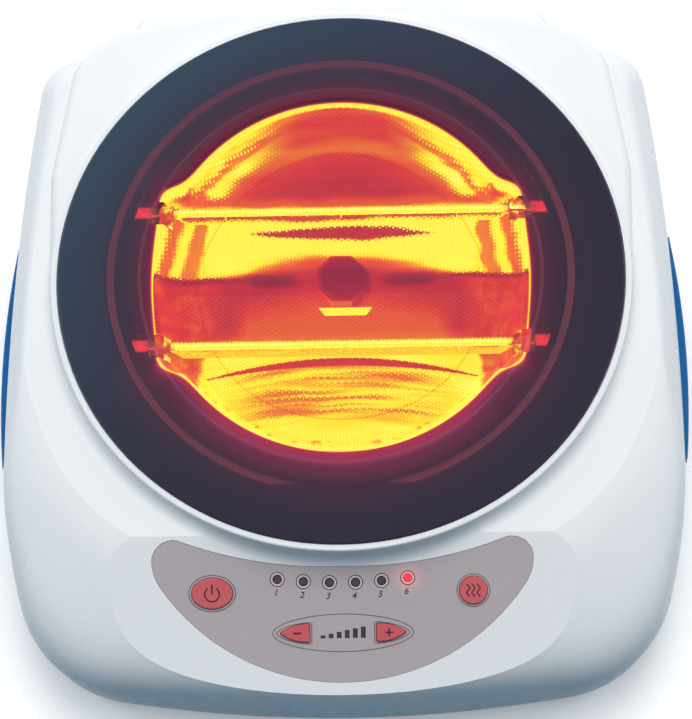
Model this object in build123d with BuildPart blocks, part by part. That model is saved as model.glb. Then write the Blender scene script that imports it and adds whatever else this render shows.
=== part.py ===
"""Portable halogen cooktop: a round glass plate over a two-lamp reflector heater, in a moulded housing
with a sloping key panel, side grips, rubber feet, and a fan, boards and cord inlet inside.

Millimetres, +Z up. The front with the keys faces -Y. The origin is on the surface that the feet stand
on, under the middle of the housing."""

import math
import os

from build123d import *

# ---------------------------------------------------------------- driving dimensions

# heights
FOOT_HEIGHT = 6.0           # surface to the underside of the base tray
TRAY_FLOOR = 2.5            # thickness of the base tray's floor
SEAM_HEIGHT = 12.0          # where the upper shell meets the base tray
BODY_TOP = 74.5             # level land round the plinth
GLASS_TOP = 84.0            # cooking surface
GLASS_THICKNESS = 4.0
GASKET_THICKNESS = 1.0
GLASS_STANDS_PROUD = 2.0    # of the rim of the upper shell
GLASS_EDGE = 0.8

# glass and plinth
GLASS_RADIUS = 145.0
GLASS_Y = 22.0              # centre of the glass, heater and plinth
GLASS_GAP = 0.6             # between the glass edge and the rim
RIM_WIDTH = 3.2
RIM_EDGE = 1.2
LEDGE_WIDTH = 9.6           # glass seat, inward from the rim
LEDGE_THICKNESS = 2.6
GASKET_WIDTH = 6.0
PLINTH_SPREAD = 3.0         # how far the steep flank of the plinth leans out
PLINTH_BOTTOM = 50.0        # of the plinth's form, inside the body
PLINTH_DECK_DEPTH = 100.0   # level ground under the rear half of the plinth
PLINTH_DECK_HEIGHT = 20.0
PLINTH_FILLET = 6.0         # between the flank and the body

# plan of the housing
HALF_WIDTH = 175.7
FRONT_REACH = 194.5         # origin to the front wall
REAR_REACH = GLASS_Y + GLASS_RADIUS + 13.0  # origin to the middle of the hood's rear edge
SHOULDER_X = HALF_WIDTH - 62.7              # where the front wall turns into the front corner
SHOULDER_Y = -FRONT_REACH + 8.2
CORNER_X = HALF_WIDTH - 10.7                # where the front corner turns into the side
CORNER_Y = -FRONT_REACH + 53.5
WIDEST_Y = -72.0
REAR_CORNER_X = HALF_WIDTH - 12.0           # where the side turns into the rear corner
REAR_CORNER_Y = REAR_REACH - 39.0
REAR_EDGE_X = HALF_WIDTH - 26.7
REAR_EDGE_Y = REAR_REACH - 20.5
WALL = 2.6                  # of the upper shell
THROUGH = 20.0              # depth of a cut that goes right through the wall that it meets

# hood: the plateau behind the glass, out to the two rear lobes
HOOD_TOP = 81.4
HOOD_LEVEL_Y = 80.0         # behind this the top bends down to the rear edge
HOOD_REAR_TOP = 72.5        # a little behind the rear edge
HOOD_WALL = 5.0             # top wall, down to the level of the glass ledge
HOOD_EDGE = 6.0
LOBE_X = HALF_WIDTH - 34.2
LOBE_Y = REAR_REACH - 39.0
LOBE_START_X = LOBE_X - 32.5                # where the bowed rear edge turns into a lobe
LOBE_START_Y = REAR_REACH - 11.7
LOBE_START_OUTWARD = 77.6   # directions that the edge faces there, in degrees from +X
LOBE_END_OUTWARD = 5.0
WAIST_OUTWARD = 8.0
HOOD_UNDERLAP = 28.0        # how far the hood's form runs in under the rim

# rear pod with the air outlet, and the boss that the cord comes out of
POD_HALF_WIDTH = LOBE_X - 30.5
POD_REACH = REAR_REACH + 8.0
POD_CORNER_WIDTH = 13.0     # of the rounded rear corners
POD_CORNER_DEPTH = 14.0
POD_BOW = 5.0               # how far the rear edge falls back to the corners
POD_CORNER_OUTWARD = 83.6   # direction that the rear edge faces there, in degrees from +X
POD_TOP = 64.0
POD_TILT = 14.0
POD_EDGE = 6.0
BOSS_HALF_WIDTH = 20.0
BOSS_REACH = POD_REACH + 5.0
BOSS_CORNER = 8.0
BOSS_TOP = 52.0
BOSS_EDGE = 5.0
BOSS_GAP = 0.15             # round the boss in its notch in the pod
BOSS_NOTCH_DEPTH = 23.0     # of the form that the notch is cut with, from the pod's rear edge
BOSS_SLEEVE = 7.0           # how far its walls reach in behind the pod's wall
BOSS_FLANGE = 3.0           # how far the flange behind the pod's wall is wider than the notch
BOSS_FLANGE_THICKNESS = 2.0
BOSS_FLANGE_GAP = 0.6       # in the middle, behind the bowed wall
CORD_RADIUS = 3.8
CORD_Z = 31.0

# key panel, in its own sloping plane
PANEL_SLOPE = 18.0
PANEL_Y = -FRONT_REACH + 36.9
PANEL_Z = 60.9
PANEL_THICKNESS = 1.0
PANEL_RECESS = 1.2
PANEL_GAP = 0.25
PANEL_FLOOR = 1.8           # shell left under the recess
PANEL_HALF_WIDTH = 94.9
PANEL_TOP_MIDDLE = 28.3
PANEL_BOTTOM_MIDDLE = -29.4

# keys and lights
KEY_PROUD = 0.9             # above the sloping land
KEY_GAP = 0.35              # round a key in its opening
KEY_TRAVEL = 0.7
KEY_EDGE = 0.5
KEY_FLANGE = 1.3            # how far the flange is wider than the cap
KEY_FLANGE_THICKNESS = 1.0
KEY_REST_GAP = 0.35         # flange to the underside of the shell
ON_OFF_WIDTH = 20.4
ON_OFF_DEPTH = 15.4
ON_OFF_END_RADIUS = 6.2     # of the oval's two end arcs
ON_OFF_AT = (-64.8, 15.4)
HEAT_LAMP_RADIUS = 6.9
HEAT_LAMP_AT = (64.8, 15.4)
STEP_KEY_LENGTH = 15.0
STEP_KEY_WIDTH = 9.0
STEP_KEY_INNER = 16.6       # from the middle of the panel to the straight end
STEP_KEY_V = -4.8
LIGHT_RADIUS = 2.2
LIGHT_EDGE = 0.5            # chamfer of the end
LIGHT_PITCH = 12.95
LIGHT_ROW_V = 20.0
LIGHT_ROW_RADIUS = 262.0
LIGHT_COUNT = 6
LIGHT_GAP = 0.15
LIGHT_PROUD = 0.3           # above the panel
SWITCH_SIZE = 6.0
SWITCH_BODY = 2.0
PLUNGER_RADIUS = 1.7
PLUNGER_HEIGHT = 0.85
PLUNGER_GAP = 0.35          # left when a key is fully pressed
STEM_RADIUS = 1.6
BOARD_THICKNESS = 1.6

# heater
PAN_RADIUS = GLASS_RADIUS - 23.0
PAN_SHEET = 1.0
PAN_BOTTOM = 54.0
PAN_TOP = 77.5
PAN_SHOULDER = 76.2         # step that the flange of the dish lies on
PAN_STEP = 2.0
PAN_CORNER = 4.0
RING_WIDTH = 10.0
RING_CLEARANCE = 0.1        # under the glass
DISH_RADIUS = PAN_RADIUS - 26.5
DISH_SHEET = 0.8
DISH_TOP = 77.0
DISH_DRAFT = 30.0
DISH_EAR_HALF_X = DISH_RADIUS - 3.5
DISH_EAR_HALF_Y = 52.0
DISH_EAR_RADIUS = 10.0
TROUGH_Z = 58.5
TROUGH_EDGE_Y = DISH_RADIUS + 2.0
RIDGE_Z = 71.5
RIDGE_HALF = 7.0
RIDGE_SIDE_Z = 69.0
DISH_BOSS_WIDTH = 25.0
DISH_BOSS_TOP = 73.5
DISH_BOSS_BOTTOM = 64.0
LAMP_SPACING = 74.0
LAMP_Z = 73.0
LAMP_RADIUS = 4.0
LAMP_WALL = 0.9
CAP_INNER_X = PAN_RADIUS - 24.0  # face of a lamp cap that the tube enters
CAP_LENGTH = 12.0
CAP_WIDTH = 10.0
CAP_HEIGHT = 8.0
CAP_BORE_DEPTH = 3.2
CAP_FIT = 0.05
CAP_EDGE = 1.2
WINDOW_INNER_X = PAN_RADIUS - 38.0   # openings of the dish over the lamp ends
WINDOW_OUTER_X = PAN_RADIUS - 10.5
FILAMENT_RADIUS = 1.1
FILAMENT_HALF = CAP_INNER_X - 10.0
FILAMENT_SUPPORTS = 3
FILAMENT_SUPPORT_PITCH = 60.0
BRACKET_SHEET = 0.8
BRACKET_X = CAP_INNER_X + 6.4
BRACKET_HALF_LENGTH = 45.0
BRACKET_FOOT = 12.0
LEAD_X = CAP_INNER_X + 9.0  # where a lead leaves its lamp cap
LEAD_RADIUS = 1.2
LEAD_HOLE_RADIUS = 2.5
LEAD_BEND = 6.0
LEAD_RUN_Z = 44.0
CUTOUT_RADIUS = 8.0
CUTOUT_HEIGHT = 9.0
CUTOUT_FLANGE = 2.0         # wider and thinner than the body
CUTOUT_TAB = (0.8, 6.3, 7.0)
SHEET_GAP = 0.2             # round the sheets that lie in the pan
SPRING_SHEET = 0.5
SPRING_WIDTH = 8.0
SPRING_HALF = 13.0
SPRING_FOOT = 3.0

# side grips
GRIP_REAR_Y = 56.0
GRIP_FRONT_Y = -66.0
GRIP_WIDEST_Y = -35.0
GRIP_REACH = HALF_WIDTH + 2.5
GRIP_BAR_BOTTOM = 28.0
GRIP_BAR_TOP = 42.0
GRIP_BAR_DEPTH = 8.0
POCKET_DEPTH = 22.0
POCKET_WALL = 2.0
POCKET_HALF_LENGTH = 52.0
POCKET_MIDDLE_Y = -5.0
GRIP_GAP = 0.3
GRIP_REAR_X = HALF_WIDTH - 3.4              # the two ends of the bar's outer edge
GRIP_FRONT_X = HALF_WIDTH + 0.6
GRIP_EDGE = 3.0
GRIP_OPENING_MARGIN = 4.0   # of the housing's opening, past the pocket's inner wall

# base tray, feet and fasteners
TRAY_INSET = 1.6            # rim of the tray inside the outline of the shell
UPSTAND_HEIGHT = 14.5
UPSTAND_THICKNESS = 2.0
UPSTAND_GAP = 0.4
FOOT_RADIUS = 9.0
FOOT_X = HALF_WIDTH - 43.7
FOOT_FRONT_Y = -FRONT_REACH + 54.5
FOOT_REAR_Y = REAR_REACH - 52.0
FOOT_SPIGOT_RADIUS = 3.5
FOOT_SPIGOT_PROUD = 1.5     # through the floor of the tray
FOOT_SPIGOT_GAP = 0.1
FOOT_EDGE_WIDTH = 1.0
FOOT_EDGE_HEIGHT = 1.2
POST_RADIUS = 4.5
SCREW_RADIUS = 1.6
SCREW_HEAD_RADIUS = 3.4
SCREW_HEAD_HEIGHT = 1.8
SCREW_HEAD_SUNK = 2.4       # depth of the recess for a head
SCREW_HEAD_GAP = 0.6        # round a head in its recess
SCREW_PASS = 0.3            # round a shank in a clearance hole
SCREW_GAP = 0.05            # round a shank in its post
SMALL_HEAD_RADIUS = 2.8     # of the screws of the fan and the power board
SMALL_HEAD_HEIGHT = 1.6
SCREW_DEPTH = 14.0
POST_GAP = 0.1              # between a post and the tray's boss
TRAY_BOSS_RADIUS = 7.0
PAD_WIDTH = 7.0             # of the pads under the fan and the power board
SCREW_POSTS = (
    (HALF_WIDTH - 55.7, -FRONT_REACH + 68.5),
    (-HALF_WIDTH + 55.7, -FRONT_REACH + 68.5),
    (HALF_WIDTH - 29.7, 84.0),
    (-HALF_WIDTH + 29.7, 84.0),
    (60.0, REAR_REACH - 14.0),
    (-60.0, REAR_REACH - 14.0),
)
FOOT_PLACES = {
    "foot_front_left": (-FOOT_X, FOOT_FRONT_Y),
    "foot_front_right": (FOOT_X, FOOT_FRONT_Y),
    "foot_rear_left": (-FOOT_X, FOOT_REAR_Y),
    "foot_rear_right": (FOOT_X, FOOT_REAR_Y),
}
SUPPORT_RADIUS = PAN_RADIUS - 22.0          # from the middle of the heater
SUPPORT_TOP = 50.0
SUPPORT_SHEET = 1.2
SUPPORT_DEPTH = 12.0        # of the foot and the top flange
SUPPORT_LENGTH = 36.0

# fan
FAN_SIZE = 80.0
FAN_HEIGHT = 15.0
FAN_AT = (86.0, 92.0)
FAN_DUCT_RADIUS = 38.0
FAN_TIP_GAP = 1.0
FAN_HUB_RADIUS = 15.0
FAN_BLADES = 7
SHAFT_RADIUS = 1.5
SHAFT_GAP = 0.03            # running fit of the rotor on its shaft
FAN_BOTTOM = 11.0
FAN_STRUT = 2.0
FAN_SCREW_PITCH = 71.0
FAN_BLADE_WIDTH = 13.0
FAN_BLADE_THICKNESS = 1.4
FAN_BLADE_PITCH = 35.0
FAN_CORNER = 5.0
FAN_ROTOR_GAP = 0.6         # over the struts
FAN_HUB_EDGE = 1.0
INLET_RADIUS = 24.0         # air slots of the tray, under the fan
INLET_COUNT = 18
INLET_LENGTH = 18.0
INLET_WIDTH = 3.0

# air outlet of the rear pod
VENT_PITCH = 7.5
VENT_ROWS = 4
VENT_WIDTH = 3.4
VENT_LENGTH = POD_HALF_WIDTH - 49.0
VENT_MARGIN = 11.0          # beside the cord boss
VENT_Z = 36.0

# boards, ribbon cable and terminals
POWER_BOARD_AT = (-55.0, -88.0)
POWER_BOARD_LENGTH = 120.0
POWER_BOARD_WIDTH = 66.0
POWER_BOARD_BOTTOM = 16.0
POWER_BOARD_MARGIN = 5.0    # screw centres from the edges
BOARD_SCREW_DEPTH = 7.5
HEATSINK_AT = (-26.0, 4.0)  # places on the board, from its middle
HEATSINK_LENGTH = 48.0
HEATSINK_HEIGHT = 24.0
HEATSINK_BASE = 3.0
HEATSINK_FINS = 8
HEATSINK_FIN_DEPTH = 12.0
HEATSINK_FIN_SHEET = 1.4
TRIAC_WIDTH = 10.0
TRIAC_DEPTH = 4.5
TRIAC_HEIGHT = 15.0
TRIAC_STANDS = 3.0          # body above the board
TRIAC_LEG_PITCH = 2.5
CAPACITOR_AT = (-40.0, -18.0)
CAPACITOR_SIZE = (26.0, 12.0, 20.0)
CAPACITOR_EDGE = 2.0
RELAY_AT = (-8.0, -18.0)
RELAY_SIZE = (20.0, 15.0, 18.0)
RELAY_EDGE = 0.8
TRANSFORMER_AT = (32.0, -2.0)
TRANSFORMER_LENGTH = 34.0
TRANSFORMER_FOOT = (26.0, 5.0)  # depth and height
TRANSFORMER_CORE = (14.0, 20.0)
TRANSFORMER_COIL = (20.0, 25.0, 18.0)
TERMINAL_SIZE = (30.0, 16.0, 14.0)
TERMINAL_PITCH = 10.0
TERMINAL_HOLE_RADIUS = 2.6
TERMINAL_HOLE_DEPTH = 6.0
TERMINAL_AT = (-30.0, REAR_REACH - 38.0)
BOARD_INSET = 8.0           # display board inside the outline of the panel
BOARD_POSTS = ((-46, 0), (46, 0), (0, 6))
BOARD_POST_RADIUS = 3.0
BOARD_SCREW_RADIUS = 1.0
DISPLAY_HEAD_RADIUS = 2.2
DISPLAY_HEAD_HEIGHT = 1.4
DISPLAY_SCREW_DEPTH = 6.5
RIBBON_X = -30.0
RIBBON_V = 6.0
RIBBON_END_Y = -113.0
RIBBON_BEND_Z = 33.0
RIBBON_WIDTH = 16.0
RIBBON_THICKNESS = 0.8
PLUG_DEPTH = 5.0
PLUG_HEIGHT = 4.0

# cord bushing
BUSHING_RADIUS = 7.0
BUSHING_GAP = 0.1
BUSHING_FLANGE = 2.1
BUSHING_CLIP = 6.0          # length behind the wall of the boss
BUSHING_FLANGE_WIDTH = 2.5  # round the hole, outside
BUSHING_CLIP_WIDTH = 1.5    # and inside

# ---------------------------------------------------------------- derived places

GLASS_BOTTOM = GLASS_TOP - GLASS_THICKNESS
LEDGE_Z = GLASS_BOTTOM - GASKET_THICKNESS
RIM_TOP = GLASS_TOP - GLASS_STANDS_PROUD
SEAT_RADIUS = GLASS_RADIUS + GLASS_GAP
RIM_RADIUS = SEAT_RADIUS + RIM_WIDTH
LEDGE_RADIUS = SEAT_RADIUS - LEDGE_WIDTH
TRAY_BOTTOM = FOOT_HEIGHT
TRAY_TOP = TRAY_BOTTOM + TRAY_FLOOR
POST_BOTTOM = TRAY_TOP + 2.0
SUPPORT_PLACES = []
for angle in (90, 210, 330):
    across = math.radians(angle)
    place = (SUPPORT_RADIUS * math.cos(across), GLASS_Y + SUPPORT_RADIUS * math.sin(across), 0)
    SUPPORT_PLACES.append(Location(place, (0, 0, angle)))
FAN_SCREWS = []
for side_x in (-1, 1):
    for side_y in (-1, 1):
        step = FAN_SCREW_PITCH / 2
        FAN_SCREWS.append((FAN_AT[0] + side_x * step, FAN_AT[1] + side_y * step))
POWER_BOARD_SCREWS = []
for side_x in (-1, 1):
    for side_y in (-1, 1):
        step_x = POWER_BOARD_LENGTH / 2 - POWER_BOARD_MARGIN
        step_y = POWER_BOARD_WIDTH / 2 - POWER_BOARD_MARGIN
        POWER_BOARD_SCREWS.append((POWER_BOARD_AT[0] + side_x * step_x, POWER_BOARD_AT[1] + side_y * step_y))
LAMP_REAR_Y = GLASS_Y + LAMP_SPACING / 2
LAMP_FRONT_Y = GLASS_Y - LAMP_SPACING / 2
LEAD_HOLES = ((-LEAD_X, LAMP_REAR_Y), (LEAD_X, LAMP_REAR_Y), (-LEAD_X, LAMP_FRONT_Y), (LEAD_X, LAMP_FRONT_Y))
LEAD_START_Z = LAMP_Z - CAP_HEIGHT / 2
LEAD_END_Z = POWER_BOARD_BOTTOM + BOARD_THICKNESS
LEAD_ROUTES = (
    (
        (-LEAD_X, LAMP_REAR_Y, LEAD_START_Z),
        (-LEAD_X, LAMP_REAR_Y, LEAD_RUN_Z),
        (-118.0, 0.0, LEAD_RUN_Z),
        (-110.0, -64.0, LEAD_RUN_Z),
        (-110.0, -64.0, LEAD_END_Z),
    ),
    (
        (-LEAD_X, LAMP_FRONT_Y, LEAD_START_Z),
        (-LEAD_X, LAMP_FRONT_Y, LEAD_RUN_Z),
        (-102.0, -60.0, LEAD_RUN_Z),
        (-102.0, -60.0, LEAD_END_Z),
    ),
    (
        (LEAD_X, LAMP_REAR_Y, LEAD_START_Z),
        (LEAD_X, LAMP_REAR_Y, LEAD_RUN_Z),
        (-26.0, -60.0, LEAD_RUN_Z),
        (-26.0, -60.0, LEAD_END_Z),
    ),
    (
        (LEAD_X, LAMP_FRONT_Y, LEAD_START_Z),
        (LEAD_X, LAMP_FRONT_Y, LEAD_RUN_Z),
        (70.0, 14.0, LEAD_RUN_Z),
        (-18.0, -60.0, LEAD_RUN_Z),
        (-18.0, -60.0, LEAD_END_Z),
    ),
)

PANEL_PLANE = Plane(
    origin=(0, PANEL_Y, PANEL_Z),
    x_dir=(1, 0, 0),
    z_dir=(0, -math.sin(math.radians(PANEL_SLOPE)), math.cos(math.radians(PANEL_SLOPE))),
)
SHELL_UNDER_PANEL = -PANEL_RECESS - PANEL_FLOOR
FLANGE_TOP = SHELL_UNDER_PANEL - KEY_REST_GAP
KEY_BOTTOM = FLANGE_TOP - KEY_FLANGE_THICKNESS - 0.8
PLUNGER_TOP = KEY_BOTTOM - KEY_TRAVEL - PLUNGER_GAP
DISPLAY_BOARD_TOP = PLUNGER_TOP - PLUNGER_HEIGHT - SWITCH_BODY

os.makedirs("parts", exist_ok=True)


def write(piece, name):
    """Labels a finished piece and writes its file."""
    piece.part.label = name
    export_step(piece.part, f"parts/{name}.step")


# ---------------------------------------------------------------- housing form

# Level curves of the body: height, then how far the outline is drawn in at the side, the front,
# the front shoulder and the rear.
BODY_LEVELS = (
    (SEAM_HEIGHT, 1.7, 1.6, 1.8, 1.5),
    (28.0, 0.3, 0.6, 0.6, 0.0),
    (42.0, 1.0, 1.5, 3.5, 0.5),
    (52.0, 2.3, 4.0, 12.0, 1.5),
    (60.0, 4.5, 10.5, 26.0, 3.5),
    (66.0, 7.5, 20.0, 40.0, 6.5),
    (71.0, 10.5, 34.0, 54.0, 11.0),
    (BODY_TOP, 14.0, 50.0, 70.0, 16.0),
)


def drawn_in(x, y, outward, inset):
    """The point moved inward, against its outward direction in degrees."""
    angle = math.radians(outward)
    return (x - inset * math.cos(angle), y - inset * math.sin(angle))


def body_outline(side, front, shoulder, rear):
    """The body's plan, drawn in by these amounts."""
    front_middle = (0, -FRONT_REACH + front)
    shoulder_end = (SHOULDER_X - 0.65 * side, SHOULDER_Y + shoulder)
    corner_end = (CORNER_X - side - 0.1 * shoulder, CORNER_Y + 0.95 * shoulder)
    widest = (HALF_WIDTH - side, WIDEST_Y + 0.7 * shoulder)
    rear_corner = (REAR_CORNER_X - side, REAR_CORNER_Y - rear)
    rear_edge = (REAR_EDGE_X - side, REAR_EDGE_Y - rear)
    with BuildSketch() as outline:
        with BuildLine():
            front_arc = TangentArc(front_middle, shoulder_end, tangent=(1, 0))
            corner_arc = TangentArc(shoulder_end, corner_end, tangent=front_arc % 1)
            TangentArc(corner_end, widest, tangent=corner_arc % 1)
            side_arc = ThreePointArc(widest, (HALF_WIDTH - side - 2.6, 40), rear_corner)
            TangentArc(rear_corner, rear_edge, tangent=side_arc % 1)
            Line(rear_edge, (0, REAR_EDGE_Y - rear))
            mirror(about=Plane.YZ)
        make_face()
    return outline.sketch


def hood_outline(inset):
    """The plan of the hood: a bowed rear edge, two rear lobes, and sides that close on the plinth."""
    lobe_start = drawn_in(LOBE_START_X, LOBE_START_Y, LOBE_START_OUTWARD, inset)
    lobe_end = drawn_in(LOBE_X, LOBE_Y, LOBE_END_OUTWARD, inset)
    waist = drawn_in(RIM_RADIUS + 2.0, HOOD_LEVEL_Y, WAIST_OUTWARD, inset)
    end = (RIM_RADIUS + 1.0 - inset, GLASS_Y)
    inner_end = (RIM_RADIUS - HOOD_UNDERLAP, GLASS_Y - 12)
    with BuildSketch() as outline:
        with BuildLine():
            rear_arc = TangentArc((0, REAR_REACH - inset), lobe_start, tangent=(1, 0))
            TangentArc(lobe_start, lobe_end, tangent=rear_arc % 1)
            Polyline(lobe_end, waist, end, inner_end, (0, inner_end[1]))
            mirror(about=Plane.YZ)
        make_face()
    return outline.sketch


def pod_outline(inset):
    """The plan of the rear pod."""
    corner_x = POD_HALF_WIDTH - POD_CORNER_WIDTH
    corner_y = POD_REACH - POD_BOW
    corner_start = drawn_in(corner_x, corner_y, POD_CORNER_OUTWARD, inset)
    corner_end = drawn_in(POD_HALF_WIDTH, corner_y - POD_CORNER_DEPTH, 0, inset)
    with BuildSketch() as outline:
        with BuildLine():
            rear_arc = TangentArc((0, POD_REACH - inset), corner_start, tangent=(1, 0))
            TangentArc(corner_start, corner_end, tangent=rear_arc % 1)
            Polyline(corner_end, (corner_end[0], LOBE_Y - 1), (0, LOBE_Y - 1))
            mirror(about=Plane.YZ)
        make_face()
    return outline.sketch


def boss_outline(inset):
    """The plan of the cord boss, with a flat rear face."""
    rear = BOSS_REACH - inset
    corner_start = (BOSS_HALF_WIDTH - BOSS_CORNER, rear)
    corner_end = (BOSS_HALF_WIDTH - inset, BOSS_REACH - BOSS_CORNER - 1)
    with BuildSketch() as outline:
        with BuildLine():
            Line((0, rear), corner_start)
            TangentArc(corner_start, corner_end, tangent=(1, 0))
            inner_end = POD_REACH - BOSS_NOTCH_DEPTH
            Polyline(corner_end, (corner_end[0], inner_end), (0, inner_end))
            mirror(about=Plane.YZ)
        make_face()
    return outline.sketch


def footprint(inset):
    """The whole housing's plan where the upper shell meets the base tray."""
    _, side, front, shoulder, rear = BODY_LEVELS[0]
    with BuildSketch() as outline:
        add(body_outline(side + inset, front + inset, shoulder + inset, rear + inset))
        add(hood_outline(inset))
        add(pod_outline(inset))
        add(boss_outline(inset))
    return outline.sketch


def body_form(inset):
    """The pillow-shaped body, cut by the sloping land that carries the key panel."""
    top_level = BODY_LEVELS[-1][0]
    with BuildPart() as form:
        for height, side, front, shoulder, rear in BODY_LEVELS:
            lowered = inset * (height - SEAM_HEIGHT) / (top_level - SEAM_HEIGHT)
            with BuildSketch(Plane.XY.offset(height - lowered)):
                add(body_outline(side + inset, front + inset, shoulder + inset, rear + inset))
        # the inside is faceted between the levels
        loft(ruled=inset > 0)
        split(bisect_by=PANEL_PLANE.offset(SHELL_UNDER_PANEL if inset else 0), keep=Keep.BOTTOM)
    return form.part


def plinth_form(inset):
    """The round plinth under the rim, with a steep flank."""
    rim = RIM_RADIUS - inset
    top = LEDGE_Z - LEDGE_THICKNESS if inset else RIM_TOP
    with BuildPart() as form:
        with BuildSketch(Plane.XZ.offset(-GLASS_Y)):
            with BuildLine():
                foot = (rim + PLINTH_SPREAD, PLINTH_BOTTOM)
                Polyline((0, PLINTH_BOTTOM), foot, (rim, top), (0, top), close=True)
            make_face()
        revolve(axis=Axis((0, GLASS_Y, 0), (0, 0, 1)))
    return form.part


def on_plinth_foot(edge):
    """True for an edge along the foot of the plinth's flank."""
    radii = [math.hypot((edge @ share).X, (edge @ share).Y - GLASS_Y) for share in (0, 0.25, 0.5, 0.75, 1)]
    below_rim = PANEL_Z < (edge @ 0.5).Z < RIM_TOP - 1
    return below_rim and min(radii) > RIM_RADIUS and max(radii) < RIM_RADIUS + PLINTH_SPREAD


def plinth_on_body():
    """The body with the plinth, blended together in front of the hood."""
    with BuildPart() as form:
        add(BODY_FORM)
        with Locations((0, REAR_EDGE_Y - 20, BODY_TOP)):
            Box(
                2 * RIM_RADIUS,
                PLINTH_DECK_DEPTH,
                PLINTH_DECK_HEIGHT,
                align=(Align.CENTER, Align.CENTER, Align.MAX),
            )
        add(plinth_form(0))
        fillet(form.edges().filter_by(on_plinth_foot), radius=PLINTH_FILLET)
        split(bisect_by=Plane(origin=(0, HOOD_LEVEL_Y + 5, 0), z_dir=(0, 1, 0)), keep=Keep.BOTTOM)
    return form.part


def outer_edges(form, lowest, behind):
    """The upper edges of a form behind this y, without the upright ones."""
    edges = form.edges().filter_by(lambda e: e.center().Z > lowest and e.center().Y > behind)
    return edges.filter_by(lambda e: abs((e % 0.5).Z) < 0.5)


def hood_form(inset):
    """The plateau behind the glass, level beside it and bent down to its rear edge."""
    top = HOOD_TOP - (HOOD_WALL if inset else 0)
    with BuildPart() as form:
        with BuildSketch(Plane.XY.offset(SEAM_HEIGHT)):
            add(hood_outline(inset))
        extrude(amount=HOOD_TOP)
        with BuildSketch(Plane.YZ.offset(-HALF_WIDTH)):
            with BuildLine():
                level = Line((0, top), (HOOD_LEVEL_Y, top))
                rear_end = (REAR_REACH + 10, top + HOOD_REAR_TOP - HOOD_TOP)
                bend = TangentArc(level @ 1, rear_end, tangent=(1, 0))
                Polyline(bend @ 1, (REAR_REACH + 10, SEAM_HEIGHT), (0, SEAM_HEIGHT), (0, top))
            make_face()
        extrude(amount=2 * HALF_WIDTH, mode=Mode.INTERSECT)
        if not inset:
            fillet(outer_edges(form, 70, 20), radius=HOOD_EDGE)
    return form.part


def pod_form(inset):
    """The rear pod, its top falling to the rear."""
    tilt = math.radians(POD_TILT)
    top_plane = Plane(
        origin=(0, POD_REACH, POD_TOP - inset), x_dir=(1, 0, 0), z_dir=(0, math.sin(tilt), math.cos(tilt))
    )
    with BuildPart() as form:
        with BuildSketch(Plane.XY.offset(SEAM_HEIGHT)):
            add(pod_outline(inset))
        extrude(amount=100)
        split(bisect_by=top_plane, keep=Keep.BOTTOM)
        if not inset:
            fillet(outer_edges(form, POD_TOP - 1, LOBE_Y + 4), radius=POD_EDGE)
    return form.part


def boss_form(inset):
    """The boss at the rear that the cord comes out of, square inside and rounded outside."""
    with BuildPart() as form:
        with BuildSketch(Plane.XY.offset(SEAM_HEIGHT)):
            add(boss_outline(inset))
        extrude(amount=BOSS_TOP - inset - SEAM_HEIGHT)
        if inset <= 0:
            top_edges = outer_edges(form, BOSS_TOP - 1, POD_REACH - BOSS_NOTCH_DEPTH + 1)
            fillet(top_edges, radius=BOSS_EDGE - inset)
    return form.part


BODY_FORM = body_form(0)


def housing(inset):
    """The whole upper housing, drawn in by a wall."""
    with BuildPart() as form:
        add(body_form(inset) if inset else BODY_FORM)
        add(plinth_form(inset))
        if not inset:
            add(plinth_on_body())
        add(hood_form(inset))
        add(pod_form(inset))
    return form.part


# ---------------------------------------------------------------- key panel outlines


def panel_outline(inset):
    """The crescent of the key panel, in the panel's own plane."""
    bottom = (0, PANEL_BOTTOM_MIDDLE + inset)
    side_low = drawn_in(PANEL_HALF_WIDTH - 4.1, 18.6, -34, inset)
    side_high = drawn_in(PANEL_HALF_WIDTH, 31, -3, inset)
    peak = drawn_in(PANEL_HALF_WIDTH - 12.9, 41.9, 102, inset)
    with BuildSketch() as outline:
        with BuildLine():
            low_arc = TangentArc(bottom, side_low, tangent=(1, 0))
            side_arc = TangentArc(side_low, side_high, tangent=low_arc % 1)
            TangentArc(side_high, peak, tangent=side_arc % 1)
            ThreePointArc(peak, (41, 30.9 - inset), (0, PANEL_TOP_MIDDLE - inset))
            mirror(about=Plane.YZ)
        make_face()
    return outline.sketch


def on_off_outline(grow):
    """An oval of four arcs, wider than it is deep."""
    half_width = ON_OFF_WIDTH / 2 + grow
    half_depth = ON_OFF_DEPTH / 2 + grow
    end = ON_OFF_END_RADIUS + grow
    reach = half_width - end
    side = (reach**2 + half_depth**2 - end**2) / (2 * (half_depth - end))
    lean = math.atan2(side - half_depth, reach)
    join = (reach + end * math.cos(lean), end * math.sin(lean))
    with BuildSketch() as outline:
        with BuildLine():
            end_arc = TangentArc((half_width, 0), join, tangent=(0, 1))
            TangentArc(join, (0, half_depth), tangent=end_arc % 1)
            mirror(about=Plane.YZ)
            mirror(about=Plane.XZ)
        make_face()
    return outline.sketch.moved(Location((*ON_OFF_AT, 0)))


def heat_lamp_outline(grow):
    """A circle."""
    with BuildSketch() as outline:
        with Locations(HEAT_LAMP_AT):
            Circle(HEAT_LAMP_RADIUS + grow)
    return outline.sketch


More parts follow.
